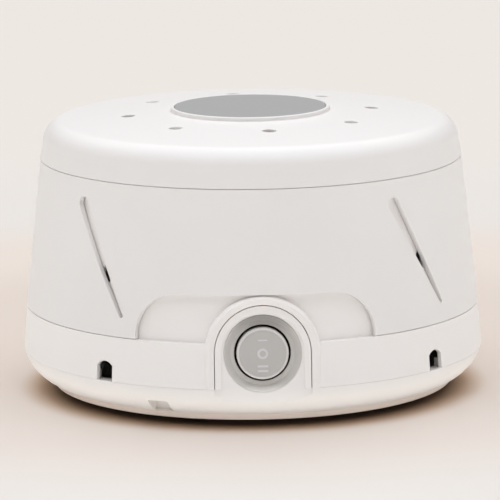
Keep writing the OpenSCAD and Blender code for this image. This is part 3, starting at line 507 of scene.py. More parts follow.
def block(width, near, far, low, high, place):
    """A plain box between two distances from the axis, in front."""
    bm = bmesh.new()
    bmesh.ops.create_cube(bm, size=1)
    bmesh.ops.scale(bm, vec=(width * MM, (far - near) * MM, (high - low) * MM),
                    verts=bm.verts[:])
    bmesh.ops.translate(bm, vec=(0, -(far + near) / 2 * MM, (high + low) / 2 * MM),
                        verts=bm.verts[:])
    return moved(bm, place)


def cone_radius(low_radius, low, taper):
    """The radius of a tapered wall at any height."""
    return lambda height: low_radius - (height - low) * tan(radians(taper))


def laid(bm, radius_at, degrees_round):
    """Moves a tool that faces the wall squarely to its place on the unrolled wall."""
    for vert in bm.verts:
        along = asin(vert.co.x / MM / radius_at(vert.co.y / MM))
        vert.co.x = (radians(degrees_round) + along) * REACH * MM
    return bm


def rolled_wall(radius_at, thickness, low, high, tools, start=0, ease=0.3):
    """Cuts and eases a flat plate, slices it into columns and rolls it round the axis."""
    half = pi * REACH
    plate = cut(thickened(panel(half, low, high), -thickness, 0), *tools)
    plate.normal_update()
    ends = [face for face in plate.faces if abs(face.normal.x) > 0.99
            and abs(face.verts[0].co.x) > half * MM - TINY]
    bmesh.ops.delete(plate, geom=ends, context="FACES_ONLY")
    eased(plate, ease, lambda co: co.z > -TINY)
    for number in range(1, TURN_STEPS):
        x = (2 * number / TURN_STEPS - 1) * half * MM
        bmesh.ops.bisect_plane(plate, geom=plate.verts[:] + plate.edges[:] + plate.faces[:],
                               dist=TINY / 10, plane_co=(x, 0, 0), plane_no=(1, 0, 0))
    for vert in plate.verts:
        radius = radius_at(vert.co.y / MM) * MM + vert.co.z
        angle = vert.co.x / (REACH * MM) + radians(start)
        vert.co = (radius * sin(angle), -radius * cos(angle), vert.co.y)
    bmesh.ops.remove_doubles(plate, verts=plate.verts[:], dist=TINY)
    return plate


print("a turned shape has", TURN_STEPS, "steps, one for every", 360 / TURN_STEPS, "degrees")

# %% [markdown]
# ## Levels and radii
#
# These are the frame's own sizes in millimetres. Every new piece is drawn from them, so it
# lands where the solid is that it stands for. Soft edges make a gap look wider than it is, so
# the collar, the ring and the tongue come a little closer to their neighbours than the solids
# do. The switch sits on a face that leans back with the ring, and one matrix takes a shape
# that is drawn flat to that face.

# %% Sizes that the pieces share
PAN_Z, SEAM_Z, LEDGE_Z, CAP_Z = 2, 13.35, 27.35, 74.25
SEAM, THIN_SEAM, FIT = 0.3, 0.13, 0.1
BODY_R, RING_TAPER = 73, 4.6
COLLAR_TAPER = 6.2
LEDGE_R = BODY_R - (LEDGE_Z - SEAM_Z) * tan(radians(RING_TAPER))
CAP_R = LEDGE_R - (CAP_Z - LEDGE_Z) * tan(radians(COLLAR_TAPER))
DRUM_R = LEDGE_R - 1.95
SWITCH_Z, FACE_Y = 24.1, 70.5
TONGUE_R, ARCH_R, ARCH_OUT_R = 14.7, 14.9, 17.8
BORDER_STEP = 0.7
HOUSING_TURN, COLLAR_TURN, SLOT_TURN, CAP_TURN = 3.6, -1.7, 2.3, 6.1
ON_FACE = (Matrix.Translation((0, -FACE_Y * MM, SWITCH_Z * MM))
           @ Matrix.Rotation(radians(90 - RING_TAPER), 4, "X"))
ring_radius = cone_radius(BODY_R, SEAM_Z, RING_TAPER)
collar_radius = cone_radius(LEDGE_R, LEDGE_Z, COLLAR_TAPER)
drum_radius = cone_radius(DRUM_R, LEDGE_Z, COLLAR_TAPER)
SEAM_LEG = (SWITCH_Z - SEAM_Z) / cos(radians(RING_TAPER))
print(f"collar from radius {LEDGE_R:.2f} to {CAP_R:.2f} mm")


# %% Finished pieces
SHADE_ANGLE = 32


def piece(name, bm, finish, body, slot, *nodes):
    """Makes the object, shades its soft edges evenly and hides the solids it stands for."""
    mesh = bpy.data.meshes.new(name)
    bm.to_mesh(mesh)
    open_edges = sum(len(edge.link_faces) != 2 for edge in bm.edges)
    print(f"{name}: {len(bm.verts)} points, {len(bm.faces)} faces, {open_edges} open edges")
    bm.free()
    mesh.materials.append(finish)
    mesh.shade_smooth()
    mesh.set_sharp_from_angle(angle=radians(SHADE_ANGLE))
    made = bpy.data.objects.new(name, mesh)
    bpy.context.scene.collection.objects.link(made)
    even = made.modifiers.new("even_shading", "WEIGHTED_NORMAL")
    even.keep_sharp = True
    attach(made, body)
    if nodes:
        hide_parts(*nodes)


# %% [markdown]
# ## The turning collar
#
# The collar is a thin tapered ring with four leaning slots and a window that clears the switch.
# Each slot is wide and round at its upper end and narrow at its lower end, like a drop. Its
# cutter is the hull of two circles: the hull finds the two straight flanks by itself.


# %% A drop-shaped slot
SLOT_H, SLOT_LEAN, SLOT_MID = 32.6, 18.4, 22.8
SLOT_TOP_R, SLOT_LOW_R = 2.1, 0.6
TOOL_REACH = 6


def slot_tool(lean, wider=0):
    """The cutter of one slot. A lean of 1 goes down to the right and -1 to the left."""
    bm = bmesh.new()
    for side, radius in ((-1, SLOT_TOP_R + wider), (1, SLOT_LOW_R + wider)):
        for depth in (-TOOL_REACH, TOOL_REACH):
            centre = (side * lean * SLOT_LEAN / 2 * MM, -side * SLOT_H / 2 * MM, depth * MM)
            bmesh.ops.create_circle(bm, radius=radius * MM, segments=32,
                                    matrix=Matrix.Translation(centre))
    hull = bmesh.ops.convex_hull(bm, input=bm.verts[:])
    inner = {part for part in hull["geom_interior"] + hull["geom_unused"]
             if isinstance(part, bmesh.types.BMVert)}
    bmesh.ops.delete(bm, geom=list(inner), context="VERTS")
    bmesh.ops.dissolve_limit(bm, angle_limit=0.01, verts=bm.verts[:], edges=bm.edges[:])
    bmesh.ops.recalc_face_normals(bm, faces=bm.faces[:])
    return moved(bm, Matrix.Translation((0, (LEDGE_Z + SLOT_MID) * MM, 0)))


collar_slots = [laid(slot_tool(1), collar_radius, turn)
                for turn in quarter_turns(SLOT_TURN + 45, -2)]
print("slots:", len(collar_slots))

# %% The collar
WINDOW_HALF, WINDOW_ROUND, WINDOW_TOP, WINDOW_DROP = 36.7, 13.8, 42.14, 16
COLLAR_WALL = 1.6
window = thickened(panel(WINDOW_HALF, -WINDOW_DROP, 0, WINDOW_ROUND),
                   -TOOL_REACH, TOOL_REACH)
window = laid(moved(window, Matrix.Translation((0, WINDOW_TOP * MM, 0))), collar_radius, 0)
piece(
    "collar_moulding",
    rolled_wall(collar_radius, COLLAR_WALL, LEDGE_Z, CAP_Z - THIN_SEAM,
                [gathered(*collar_slots, window)], start=COLLAR_TURN, ease=0.25),
    white_shell, "collar", "white_shell", "collar")

# %% [markdown]
# ## The housing behind the collar
#
# The fixed housing is one moulding on the real object. Here it is several closed shells in one
# piece: the ring with its arched inlets, the drum whose slots lean the other way, the arch
# around the switch, the lid below the cap and the bosses for the case screws. Where two shells
# meet they overlap inside the plastic, which can't be seen and saves every awkward joint.


# %% The ring and the drum
def opening(bm, up, wall_radius, degrees_round):
    """Turns a flat outline into a tool on an unrolled wall."""
    tool = moved(thickened(bm, -TOOL_REACH, TOOL_REACH), Matrix.Translation((0, up * MM, 0)))
    return laid(tool, wall_radius, degrees_round)


INLET_HALF, INLET_TOP, INLET_ARC_R = 3, 6.2, 3.78
INLET_WALL, INLET_RIM = 1.35, 1.5
BUSH_R, DRUM_SLOT_WIDER = 5, 0.9
RING_WALL, DRUM_WALL = 2.2, 1.8
RING_START = 90


def inlet_panel():
    """An inlet drawn flat: upright sides below a shallow arc."""
    bm = panel(INLET_HALF, -PAST, INLET_TOP)
    top = [edge for edge in bm.edges if all(vert.co.y > 0 for vert in edge.verts)]
    bmesh.ops.subdivide_edges(bm, edges=top, cuts=15)
    for vert in bm.verts:
        if vert.co.y > 0:
            drop = INLET_ARC_R - sqrt(INLET_ARC_R ** 2 - (vert.co.x / MM) ** 2)
            vert.co.y -= drop * MM
    return bm


INLET_TURNS = quarter_turns(HOUSING_TURN + 45, -1)
ring_tools = [opening(inlet_panel(), SEAM_Z, ring_radius, turn - RING_START)
              for turn in INLET_TURNS]
reliefs = gathered(*(
    laid(moved(thickened(panel(INLET_HALF + INLET_RIM, -PAST, INLET_TOP + INLET_RIM),
                         -TOOL_REACH, -INLET_WALL),
               Matrix.Translation((0, SEAM_Z * MM, 0))), ring_radius, turn - RING_START)
    for turn in INLET_TURNS))
behind_arch = (ARCH_R + ARCH_OUT_R) / 2
ring_tools.append(opening(panel(behind_arch, -SWITCH_Z, behind_arch, behind_arch),
                          SWITCH_Z, ring_radius, -RING_START))
ring_tools.append(opening(panel(BUSH_R + FIT, -PAST, 2 * BUSH_R + FIT, BUSH_R + FIT),
                          SEAM_Z, ring_radius, 180 - RING_START))
ring = rolled_wall(ring_radius, RING_WALL, SEAM_Z, LEDGE_Z - THIN_SEAM,
                   [reliefs, gathered(*ring_tools)], start=RING_START, ease=0.18)

DRUM_FOOT, NECK_Z = 24, 73.65
drum_tools = [laid(slot_tool(-1, DRUM_SLOT_WIDER), drum_radius, turn)
              for turn in quarter_turns(HOUSING_TURN + 45, -2)]
drum_tools.append(opening(panel(behind_arch, -SWITCH_Z, behind_arch, behind_arch),
                          SWITCH_Z, drum_radius, 0))
drum = rolled_wall(drum_radius, DRUM_WALL, DRUM_FOOT, NECK_Z, [gathered(*drum_tools)])
print("ring faces:", len(ring.faces), "drum faces:", len(drum.faces))

# %% [markdown]
# The arch is a bar with a round outer edge that goes over the switch and runs straight down on
# both sides. Its section is spun half a turn, both ends are drawn out along the face, and the
# legs are cut off level where the pan begins. Its outer edge rises gently towards the top, as
# far as the collar's face, so that the top of the arch catches the light.

# %% The arch around the switch
ARCH_DEPTH, ARCH_ROUND, ARCH_CREASE = 9, 1.8, 0.15
ARCH_LIFT, LIFT_WIDTH, LIFTED_FROM = 1.8, 2.1, -1.9
arch = half_section(
    ((ARCH_R, -ARCH_DEPTH), (ARCH_OUT_R, -ARCH_DEPTH), (ARCH_OUT_R, 0), (ARCH_R, 0)),
    ((2, ARCH_ROUND, 8), (3, ARCH_CREASE, 2)))
bmesh.ops.delete(arch, geom=arch.faces[:], context="FACES_ONLY")
near_end = arch.edges[:]
swept = bmesh.ops.spin(arch, geom=arch.verts[:] + arch.edges[:], cent=(0, 0, 0),
                       axis=(0, 0, 1), dvec=(0, 0, 0), angle=pi, steps=64)
far_end = [part for part in swept["geom_last"] if isinstance(part, bmesh.types.BMEdge)]
for end in (near_end, far_end):
    leg = bmesh.ops.extrude_edge_only(arch, edges=end)
    foot = [part for part in leg["geom"] if isinstance(part, bmesh.types.BMVert)]
    bmesh.ops.translate(arch, verts=foot, vec=(0, -(SEAM_LEG + PAST) * MM, 0))
for vert in arch.verts:
    if vert.co.z > LIFTED_FROM * MM:
        out = (hypot(vert.co.x, max(vert.co.y, 0)) / MM - ARCH_R) / LIFT_WIDTH
        height = (vert.co.y / MM + SEAM_LEG) / (ARCH_OUT_R + SEAM_LEG)
        vert.co.z += ARCH_LIFT * min(max(out, 0), 1) * max(height, 0) * MM
moved(arch, ON_FACE)
bmesh.ops.bisect_plane(arch, geom=arch.verts[:] + arch.edges[:] + arch.faces[:],
                       dist=TINY / 10, plane_co=(0, 0, SEAM_Z * MM), plane_no=(0, 0, 1),
                       clear_inner=True)
bmesh.ops.holes_fill(arch, edges=[edge for edge in arch.edges if edge.is_boundary])
bmesh.ops.recalc_face_normals(arch, faces=arch.faces[:])
print("arch faces:", len(arch.faces))

# %% The lid and the bosses
LID_Z, LID_UNDER = 83.65, 81.85
NECK_R, HUB_R, HOLE_RING, LAND_Z = 63.21, 9, 39, 85.32
POST_Z, SCREW_R, PORT_R = 84.95, 1.6, 2.65
NECK_FOOT_R, SKIRT_R, LID_WALL, POST_DROP, LAND_HALF, LID_PAST = 64.6, 63.4, 1.8, 4, 4, 5
lid = turned(half_section((
    (NECK_FOOT_R, NECK_Z), (NECK_R, NECK_Z), (NECK_R, LID_Z),
    (HOLE_RING + LAND_HALF + 1, LID_Z), (HOLE_RING + LAND_HALF, LAND_Z),
    (HOLE_RING - LAND_HALF, LAND_Z), (HOLE_RING - LAND_HALF - 1, LID_Z), (HUB_R, LID_Z),
    (HUB_R, POST_Z), (SCREW_R, POST_Z), (SCREW_R, LID_UNDER - POST_DROP),
    (HUB_R - 2, LID_UNDER - POST_DROP), (HUB_R, LID_UNDER), (NECK_R - LID_WALL, LID_UNDER),
    (NECK_R - LID_WALL, NECK_Z - 2), (SKIRT_R, NECK_Z - 3)), ((2, 4, 6), (13, 2.2, 6))))
STOP_RING, STOP_HALF, STOP_TURN = 30.125, 2.2, 23.3
stop = [post(STOP_HALF, LID_UNDER - LID_PAST, LID_Z + LID_PAST,
             at_turn(180 + side * STOP_TURN, STOP_RING)) for side in (-1, 1)]
ports = [post(PORT_R, LID_UNDER - LID_PAST, LAND_Z + LID_PAST, at_turn(turn, HOLE_RING))
         for turn in quarter_turns(CAP_TURN)]
stop_slot = half_section((
    (STOP_RING - STOP_HALF, LID_UNDER - LID_PAST), (STOP_RING + STOP_HALF, LID_UNDER - LID_PAST),
    (STOP_RING + STOP_HALF, LID_Z + LID_PAST), (STOP_RING - STOP_HALF, LID_Z + LID_PAST)))
bmesh.ops.rotate(stop_slot, verts=stop_slot.verts[:], cent=(0, 0, 0),
                 matrix=Matrix.Rotation(radians(90 - STOP_TURN), 3, "Z"))
bmesh.ops.spin(stop_slot, geom=stop_slot.verts[:] + stop_slot.edges[:] + stop_slot.faces[:],
               cent=(0, 0, 0), axis=(0, 0, 1), dvec=(0, 0, 0), angle=radians(2 * STOP_TURN),
               steps=24)
bmesh.ops.recalc_face_normals(stop_slot, faces=stop_slot.faces[:])
lid = cut(lid, gathered(*ports), stop_slot, gathered(*stop))

CASE_TURN, CASE_RING, POST_TOP = 24, 55, 16.35
BOSS_R, BOSS_TOP, RIB_T, RIB_STEP_Z = 4.1, POST_TOP + 17, 2, LEDGE_Z - 3
TO_DRUM, TO_RING = 67.6, 70.6
bosses = []
for turn in quarter_turns(CASE_TURN):
    bosses.append(post(BOSS_R, POST_TOP, BOSS_TOP, at_turn(turn, CASE_RING)))
    bosses.append(block(RIB_T, CASE_RING, TO_DRUM, RIB_STEP_Z, BOSS_TOP, at_turn(turn, 0)))
    bosses.append(block(RIB_T, CASE_RING, TO_RING, POST_TOP, RIB_STEP_Z, at_turn(turn, 0)))
piece("housing_moulding", gathered(ring, drum, arch, lid, *bosses), white_base_painted_light, "base",
      "white_shell", "housing")

# %% [markdown]
# ## The pan and its tongue
#
# The pan is a shallow bowl on a narrow band. Four grip notches are cut back to upright walls,
# and in front the round side is cut flat so that the tongue's panel can run out in it. The
# tongue is drawn flat: a round-topped plate with a recess that leaves a raised border, and a
# seat for the switch. Drawn flat, its edges can be eased before it is set on the leaning face.

# %% The bowl
BAND_R, BAND_TOP, BOWL_FOOT = 63.6, 3.8, 64.2
BOWL_R0, BOWL_Z0, BOWL_CURVE, PAN_WALL = 60.106, 16.40, 13.25, 2.2


def bowl_radius(height, inset=0):
    """The radius of the bowl's round side at any height."""
    return BOWL_R0 + sqrt((BOWL_CURVE - inset) ** 2 - (BOWL_Z0 - height) ** 2)


STEPS_UP, ROUND_ENDS_Z, FLAT_FLOOR_R = 10, 5.4, 58
outer_side = [(bowl_radius(height), height) for height in (
    BAND_TOP + (SEAM_Z - BAND_TOP) * step / STEPS_UP for step in range(STEPS_UP + 1))]
inner_side = [(bowl_radius(height, PAN_WALL), height) for height in (
    SEAM_Z - (SEAM_Z - ROUND_ENDS_Z) * step / STEPS_UP for step in range(STEPS_UP + 1))]
last = len(outer_side) + 2
bowl = turned(half_section(
    [(0, PAN_Z), (BAND_R, PAN_Z), (BAND_R, BAND_TOP), *outer_side, *inner_side,
     (FLAT_FLOOR_R, PAN_Z + PAN_WALL), (0, PAN_Z + PAN_WALL)],
    ((1, 0.4, 4), (2, 0.15, 2), (3, 0.25, 3), (last, 0.12, 2))))
print("bowl faces:", len(bowl.faces))

# %% The tongue
DISH_R, BEZEL_R, DISH_DEPTH, TUBE_R, TONGUE_T = 12, 10.6, 2.6, 9.6, 4.6
TONGUE_FOOT, BORDER_W = 11.6, 2.1
DISH_FLOOR = -BORDER_STEP - DISH_DEPTH
tongue_leg = (SWITCH_Z - TONGUE_FOOT) / cos(radians(RING_TAPER))
tongue = thickened(panel(TONGUE_R, -tongue_leg, TONGUE_R, TONGUE_R, 48), -TONGUE_T, 0)
recess_r = TONGUE_R - BORDER_W
recess = thickened(panel(recess_r, -SEAM_LEG - 1, recess_r, recess_r, 40), -BORDER_STEP, PAST)
lower = thickened(panel(ARCH_R + 1, -tongue_leg - 1, -SEAM_LEG), -BORDER_STEP, PAST)
tongue = cut(tongue, recess, lower)


def seat_tool():
    """The funnel that the bezel sits in, with the bore of the switch behind it."""
    return turned(half_section((
        (0, -TOOL_REACH), (TUBE_R + FIT, -TOOL_REACH), (TUBE_R + FIT, DISH_FLOOR),
        (BEZEL_R + FIT, DISH_FLOOR), (DISH_R, -BORDER_STEP), (DISH_R, PAST), (0, PAST))), 96)


tongue = cut(tongue, seat_tool())
eased(tongue, 0.18, lambda co: co.z > -TINY)
eased(tongue, 0.2, lambda co: abs(co.z + BORDER_STEP * MM) < TINY
      and hypot(co.x, co.y) < (DISH_R + FIT) * MM)
moved(tongue, ON_FACE)
print("tongue faces:", len(tongue.faces))

# %% [markdown]
# The walls behind the notches and the posts that stand in the pan are joined to the bowl
# before anything is cut, so that a notch and a screw hole each have one clean wall.

# %% Posts, notches and holes of the pan
NOTCH_TURNS, NOTCH_W = (-27, 153, 72.2, 252.2), 6.8
NOTCH_LOW, NOTCH_HIGH, POCKET_WALL = 4.7, 8.5, 1.4
MOUNT_PLACES = ((-33, -15), (33, -15), (-33, 9), (33, 9))
FOOT_RING, FOOT_SEAT_R, FOOT_SEAT_TOP = 52, 6.1, 2.8
PAN_POST_R, MOUNT_TOP, SCREW_WELL_R, WELL_ROOF, SKIN = 5, 13.6, 3.4, 4, 0.5
pockets = gathered(*(
    block(NOTCH_W + 2 * POCKET_WALL, BOWL_FOOT - POCKET_WALL, BODY_R, NOTCH_LOW - 1,
          NOTCH_HIGH + POCKET_WALL, at_turn(turn, 0)) for turn in NOTCH_TURNS))
inside_bowl = turned(half_section((
    (0, PAN_Z + SKIN), (BAND_R - SKIN, PAN_Z + SKIN),
    *((bowl_radius(height, SKIN), height) for _, height in outer_side[1:]), (0, SEAM_Z))))
pockets = combined("INTERSECT", pockets, inside_bowl)
posts = [post(PAN_POST_R, PAN_Z + SKIN, POST_TOP, at_turn(turn, CASE_RING))
         for turn in quarter_turns(CASE_TURN)]
posts += [post(PAN_POST_R, PAN_Z + SKIN, MOUNT_TOP, Matrix.Translation((x * MM, y * MM, 0)))
          for x, y in MOUNT_PLACES]
bowl = combined("UNION", bowl, gathered(pockets, *posts))

notches = [block(NOTCH_W, BOWL_FOOT, BODY_R + PAST, NOTCH_LOW, NOTCH_HIGH, at_turn(turn, 0))
           for turn in NOTCH_TURNS]
screw_holes = [post(SCREW_WELL_R, 0, POST_TOP - WELL_ROOF, at_turn(turn, CASE_RING))
               for turn in quarter_turns(CASE_TURN)]
foot_seats = [post(FOOT_SEAT_R, 0, FOOT_SEAT_TOP, at_turn(turn, FOOT_RING))
              for turn in quarter_turns(CASE_TURN + 45)]
flat_front = moved(thickened(panel(ARCH_R, -SWITCH_Z, ARCH_R, ARCH_R, 24), -BORDER_STEP, 6),
                   ON_FACE)
tongue_place = moved(thickened(panel(TONGUE_R, -tongue_leg, TONGUE_R, TONGUE_R, 24), -6, 6),
                     ON_FACE)
bowl = cut(bowl, flat_front, tongue_place, gathered(*notches, *screw_holes, *foot_seats))

LIP_IN, LIP_OUT, LIP_TOP, LIP_FOOT, LIP_SLOPE = 69.0, 70.6, 15.85, SEAM_Z - 3, 0.3
GAP_IN, GAP_OUT, GAP_LOW, GAP_HIGH = 55, 80, 5, 20
lip = turned(half_section((
    (LIP_IN, LIP_FOOT), (LIP_OUT - LIP_SLOPE, LIP_FOOT), (LIP_OUT, SEAM_Z),
    (LIP_OUT, LIP_TOP), (LIP_IN, LIP_TOP))))
GAPS = ((ARCH_OUT_R + SEAM, GAP_LOW, 0), (BUSH_R + SEAM, GAP_LOW, 180),
        *((INLET_HALF + INLET_RIM, SEAM_Z, turn) for turn in INLET_TURNS))
lip = cut(lip, gathered(*(block(2 * half, GAP_IN, GAP_OUT, low, GAP_HIGH, at_turn(turn, 0))
                          for half, low, turn in GAPS)))
piece("pan_moulding", gathered(bowl, tongue, lip), white_base_painted_light, "base", "white_shell", "base_pan")

# %% [markdown]
# ## The cap and its disc
#
# The cap is a flat dome with a round shoulder. Its crown rises only a little, so a few rings of
# faces are enough, and none of them lies where the eight sound holes go. Before the holes are
# drilled, the narrow faces around each one are dissolved into one, which leaves a clean rim
# that takes an even round. In the middle a raised rim holds the disc.

# %% The cap
SHOULDER_Z, CROWN, CROWN_R, CAP_WALL = 86.25, 2.6, 59.21, 1.8
RIM_Z, SEAT_Z, DISC_R, RIM_R = 89.7, 88.2, 24, 25.25
HOLE_R, HUB_LOW_Z, HUB_T, HEAD_R, PIVOT_BORE_R = 2.15, 85.55, 1.2, 4.3, 1.65
SHOULDER, INNER_SHOULDER, FOOT_WALL = (64.90, 85.75), (63.35, 84.08), 1.824


def crown(radius, below=0):
    """A point of the dome at a radius, or a point below it."""
    return (radius, SHOULDER_Z + CROWN * (1 - (radius / CROWN_R) ** 2) - below)


CALM_IN, CALM_OUT, CALM_TURN = 34, 44, 5.5
CROWN_RINGS = (56, 50, CALM_OUT, CALM_IN, 29, RIM_R)
cap_section = half_section((
    (CAP_R, CAP_Z), SHOULDER, *(crown(radius) for radius in CROWN_RINGS), (RIM_R, RIM_Z),
    (DISC_R + FIT, RIM_Z), (DISC_R + FIT, SEAT_Z), (HEAD_R, SEAT_Z),
    (HEAD_R, HUB_LOW_Z + HUB_T), (PIVOT_BORE_R, HUB_LOW_Z + HUB_T), (PIVOT_BORE_R, HUB_LOW_Z),
    (HUB_R, HUB_LOW_Z), crown(HUB_R, CAP_WALL), crown(CALM_IN, CAP_WALL),
    crown(CALM_OUT, CAP_WALL), INNER_SHOULDER, (CAP_R - FOOT_WALL, CAP_Z)),
    ((0, 0.15, 2), (1, 5.06, 14), (7, 0.25, 3), (8, 0.45, 4), (9, 0.3, 3), (19, 3.68, 8)))
cap = turned(cap_section)
hole_turns = [CAP_TURN + 45 * number for number in range(8)]
INNER_FACE_Z, OUTER_FACE_Z, DRILL_LOW, DRILL_HIGH = 83, 87, 80, 95


def beside_hole(edge):
    """Whether an edge runs outwards between the two calm rings and close to a hole."""
    middle = (edge.verts[0].co + edge.verts[1].co) / 2
    radius = hypot(middle.x, middle.y) / MM
    if not CALM_IN + 1 < radius < CALM_OUT - 1 or middle.z < INNER_FACE_Z * MM:
        return False
    turn = degrees(atan2(middle.x, -middle.y))
    return any(abs((turn - hole + 180) % 360 - 180) < CALM_TURN for hole in hole_turns)


bmesh.ops.dissolve_edges(cap, edges=[edge for edge in cap.edges if beside_hole(edge)])
holes = gathered(*(post(HOLE_R, DRILL_LOW, DRILL_HIGH, at_turn(turn, HOLE_RING))
                   for turn in hole_turns))
cap = cut(cap, holes)
eased(cap, 0.3, lambda co: abs(hypot(co.x, co.y) - HOLE_RING * MM) < 3 * MM
      and co.z > OUTER_FACE_Z * MM)
PEG_R, PEG_DROP, PEG_TOP = 1.8, 2.4, 87.2
peg = post(PEG_R, LID_Z - PEG_DROP, PEG_TOP, at_turn(180, STOP_RING))
piece("cap_moulding", gathered(cap, peg), white_shell, "cap", "white_shell", "top_cap")

# %% The disc
disc = turned(half_section((
    (0, SEAT_Z), (DISC_R, SEAT_Z), (DISC_R, RIM_Z - 0.12), (DISC_R - 2, RIM_Z - 0.05),
    (0, RIM_Z - 0.02)), ((2, 0.3, 3),)))
piece("disc_plate", disc, grey_disc, "cap", "grey_disc", "cap_disc")

# %% [markdown]
# ## The switch
#
# The bezel is a flat ring around the rocker with a steep wall that opens outwards to the rim
# of its dish. The rocker is a round button whose edge is cut back all round and softened. It
# tilts on a dark pin that goes through it from side to side, deep in the gap where no light
# comes. Three marks are printed on it, a line, a ring and two lines, as thin raised paint.

# %% The bezel
BEZEL_T, HOLE_RIM, BEZEL_FLAT, BEZEL_RIM = 0.5, 8.65, 1.3, 0.3
outer_rim = DISH_R - FIT
bezel = turned(half_section(
    ((HOLE_RIM, 0), (BEZEL_R, 0), (outer_rim, DISH_DEPTH), (outer_rim - BEZEL_RIM, DISH_DEPTH),
     (HOLE_RIM + BEZEL_FLAT, BEZEL_T), (HOLE_RIM, BEZEL_T)),
    ((2, 0.1, 2), (3, 0.12, 3), (4, 0.25, 4), (5, 0.15, 3))), 128)
moved(bezel, ON_FACE @ Matrix.Translation((0, 0, DISH_FLOOR * MM)))
piece("bezel_ring", bezel, grey_bezel_painted_light_and_shade, "base", "grey_switch", "switch_bezel")

# %% The rocker
ROCKER_R, ROCKER_FACE, ROCKER_DEPTH, ROCKER_BEVEL = 7.95, -0.2, 5.5, 0.9
PIVOT, PIN_R, PIN_HALF = -4.5, 0.8, 9.4
button = turned(half_section((
    (0, ROCKER_FACE - ROCKER_DEPTH), (ROCKER_R, ROCKER_FACE - ROCKER_DEPTH),
    (ROCKER_R, ROCKER_FACE - ROCKER_BEVEL), (ROCKER_R - ROCKER_BEVEL, ROCKER_FACE),
    (0, ROCKER_FACE)), ((1, 0.3, 3), (2, 0.3, 4), (3, 0.35, 5))), 128)
piece("rocker_cap", moved(button, ON_FACE), grey_switch, "rocker", "grey_switch",
      "rocker_button")
pin = post(PIN_R, -PIN_HALF, PIN_HALF, ON_FACE @ Matrix.Translation((0, 0, PIVOT * MM))
           @ Matrix.Rotation(radians(90), 4, "Y"), 24)
piece("rocker_pin", pin, black_plastic, "rocker", "grey_switch")

# %% The marks
PAINT_TOP, PAINT_T, RING_IN, RING_OUT = ROCKER_FACE + 0.03, 0.1, 0.95, 1.65
ONE_LINE, TWO_LINES = (2.8, 4.1, 0.42), ((3.2, -3.85, 0.6), (3.2, -5.3, 0.6))


def bar(width, up, stroke):
    """A printed line across the button."""
    return moved(thickened(panel(width / 2, -stroke / 2, stroke / 2), -PAINT_T, 0),
                 Matrix.Translation((0, up * MM, PAINT_TOP * MM)))


ring_mark = moved(turned(half_section((
    (RING_IN, -PAINT_T), (RING_OUT, -PAINT_T), (RING_OUT, 0), (RING_IN, 0)),
    ((2, 0.02, 2), (3, 0.02, 2))), 64),
    Matrix.Translation((0, 0, PAINT_TOP * MM)))
marks = moved(gathered(bar(*ONE_LINE), ring_mark, *(bar(*line) for line in TWO_LINES)),
              ON_FACE)
piece("rocker_marks", marks, mark_paint, "rocker", "grey_switch")

# %% [markdown]
# ## Floor and light
#
# The floor is a pale warm sheet that runs far behind the object, so the camera sees nothing
# else. A white sheet throws so much light back that the camera would see it burnt out. The
# sheet therefore has two colours: a white one for the light that it throws on the object, and
# a slightly deeper one for what the camera and mirror reflections see. Into the seen colour
# shade is painted in soft rings: deep and warm around the object, paler and more neutral
# further out. Next to the foot a painted contact shadow falls to a dark brown, where hardly
# any light gets in.


# %% Floor
FOOT, MIDDLE = (0, 0, 0), (0, 0.08, 0)
# Painted shade on the floor round the object, and painted contact shadows at its foot.
PAINTED_SHADE_NEAREST = (209, 196, 186)
PAINTED_SHADE_RINGS = ((0.09, 0.165, (219, 207, 198)), (0.165, 0.24, (218, 212, 206)),
         (0.24, 0.40, (221, 214, 207)))
PAINTED_SHADOWS = ((0.065, 0.0765, (192, 162, 137)), (0.058, 0.0718, (84, 64, 48)))
MOTTLE, MOTTLE_WAVES, TOOTH_WAVES = 0.06, 6, 700


def pale_floor(name, thrown):
    """Matt card that the camera sees deeper than the light that it throws, with painted shade
    round the object.
    """
    finish = Finish(name)
    mottle = finish.grain(MOTTLE_WAVES, 4)
    tooth = finish.grain(TOOTH_WAVES, 2)

    def outward(middle, near, far):
        """Rises from 0 to 1 between two distances from a middle."""
        distance = finish.node("VectorMath", {"operation": "DISTANCE"},
                               {0: finish.place, 1: middle}, out="Value")
        return finish.node("MapRange", {"interpolation_type": "SMOOTHSTEP"}, {
            "Value": distance, "From Min": near, "From Max": far})

    # Painted shade: the seen colour starts deep and warm round the object and pales in rings
    # outwards.
    seen = shade(*PAINTED_SHADE_NEAREST)
    for near, far, colour in PAINTED_SHADE_RINGS:
        amount = outward(MIDDLE, near, far) + (MOTTLE * mottle - MOTTLE / 2)
        seen = finish.between(amount, seen, shade(*colour))
    # Painted contact shadow: next to the foot the seen colour falls to a dark brown.
    for near, far, colour in PAINTED_SHADOWS:
        seen = finish.between(outward(FOOT, near, far), shade(*colour), seen)
    looking = (finish.node("LightPath", out="Is Camera Ray")
               + finish.node("LightPath", out="Is Glossy Ray")
               + finish.node("LightPath", out="Is Transmission Ray"))
    return finish.surface(
        Base_Color=finish.between(looking, shade(*thrown), seen),
        Roughness=0.58 + 0.1 * tooth,
        Normal=finish.relief(tooth, 0.00002),
    )


FLOOR_HALF = 4.0
floor_bm = bmesh.new()
bmesh.ops.create_grid(floor_bm, x_segments=2, y_segments=2, size=FLOOR_HALF)
floor_mesh = bpy.data.meshes.new("floor")
floor_bm.to_mesh(floor_mesh)
floor_bm.free()
floor_mesh.materials.append(pale_floor("floor_card_painted_shade", (253, 250, 246)))
floor = bpy.data.objects.new("floor", floor_mesh)
bpy.context.scene.collection.objects.link(floor)
print("floor side:", 2 * FLOOR_HALF, "m")

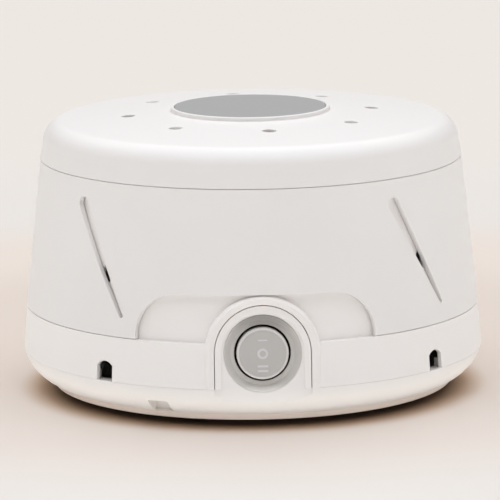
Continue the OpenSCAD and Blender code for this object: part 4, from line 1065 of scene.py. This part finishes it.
# %% [markdown]
# The light is that of a product table. A wide soft box hangs straight above, so the cap is
# the brightest face and the gap under the pan stays dark. A low band of light in front fills
# the walls, and a brighter band high behind draws the far edge of the cap. The sky is
# therefore two ramps over the height of a direction, one for the front and one for the back,
# and a mix between them.

# %% Sky
SKY_STRENGTH = 6.0
FRONT_SKY = ((0.0, (0.42, 0.42, 0.42)), (0.18, (0, 0, 0)), (0.42, (0, 0, 0)),
             (0.7, (0.06, 0.05, 0.04)), (1.0, (0.39, 0.425, 0.47)))
BACK_SKY = ((0.0, (0.07, 0.05, 0.03)), (0.18, (0, 0, 0)), (0.42, (0, 0, 0)),
            (0.7, (0.40, 0.38, 0.35)), (1.0, (0.39, 0.425, 0.47)))
sky = bpy.data.worlds.new("studio")
sky.use_nodes = True
sky_tree = sky.node_tree


def sky_node(kind, **links):
    """A node of the sky, with the sockets that are linked or set."""
    made = sky_tree.nodes.new("ShaderNode" + kind)
    for key, value in links.items():
        socket = made.inputs[int(key[1:])]
        if isinstance(value, bpy.types.NodeSocket):
            sky_tree.links.new(value, socket)
        else:
            socket.default_value = value
    return made


def sky_ramp(height, stops):
    """The sky's colour over the height of a direction."""
    made = sky_node("ValToRGB", _0=height)
    marks = made.color_ramp.elements
    while len(marks) < len(stops):
        marks.new(0.5)
    for mark, (position, colour) in zip(marks, stops):
        mark.position = position
        mark.color = (*colour, 1)
    return made.outputs[0]


direction = sky_node("TexCoord").outputs["Generated"]
axes = sky_node("SeparateXYZ", _0=direction).outputs
backward = sky_node("MapRange", _0=axes["Y"], _1=-1.0, _2=1.0).outputs[0]
both = sky_node("Mix")
both.data_type = "RGBA"
sky_tree.links.new(backward, both.inputs[0])
sky_tree.links.new(sky_ramp(axes["Z"], FRONT_SKY), both.inputs[6])
sky_tree.links.new(sky_ramp(axes["Z"], BACK_SKY), both.inputs[7])
background = sky_tree.nodes["Background"]
sky_tree.links.new(both.outputs[2], background.inputs["Color"])
background.inputs["Strength"].default_value = SKY_STRENGTH
bpy.context.scene.world = sky
print("sky stops:", len(FRONT_SKY), "in front and", len(BACK_SKY), "behind")
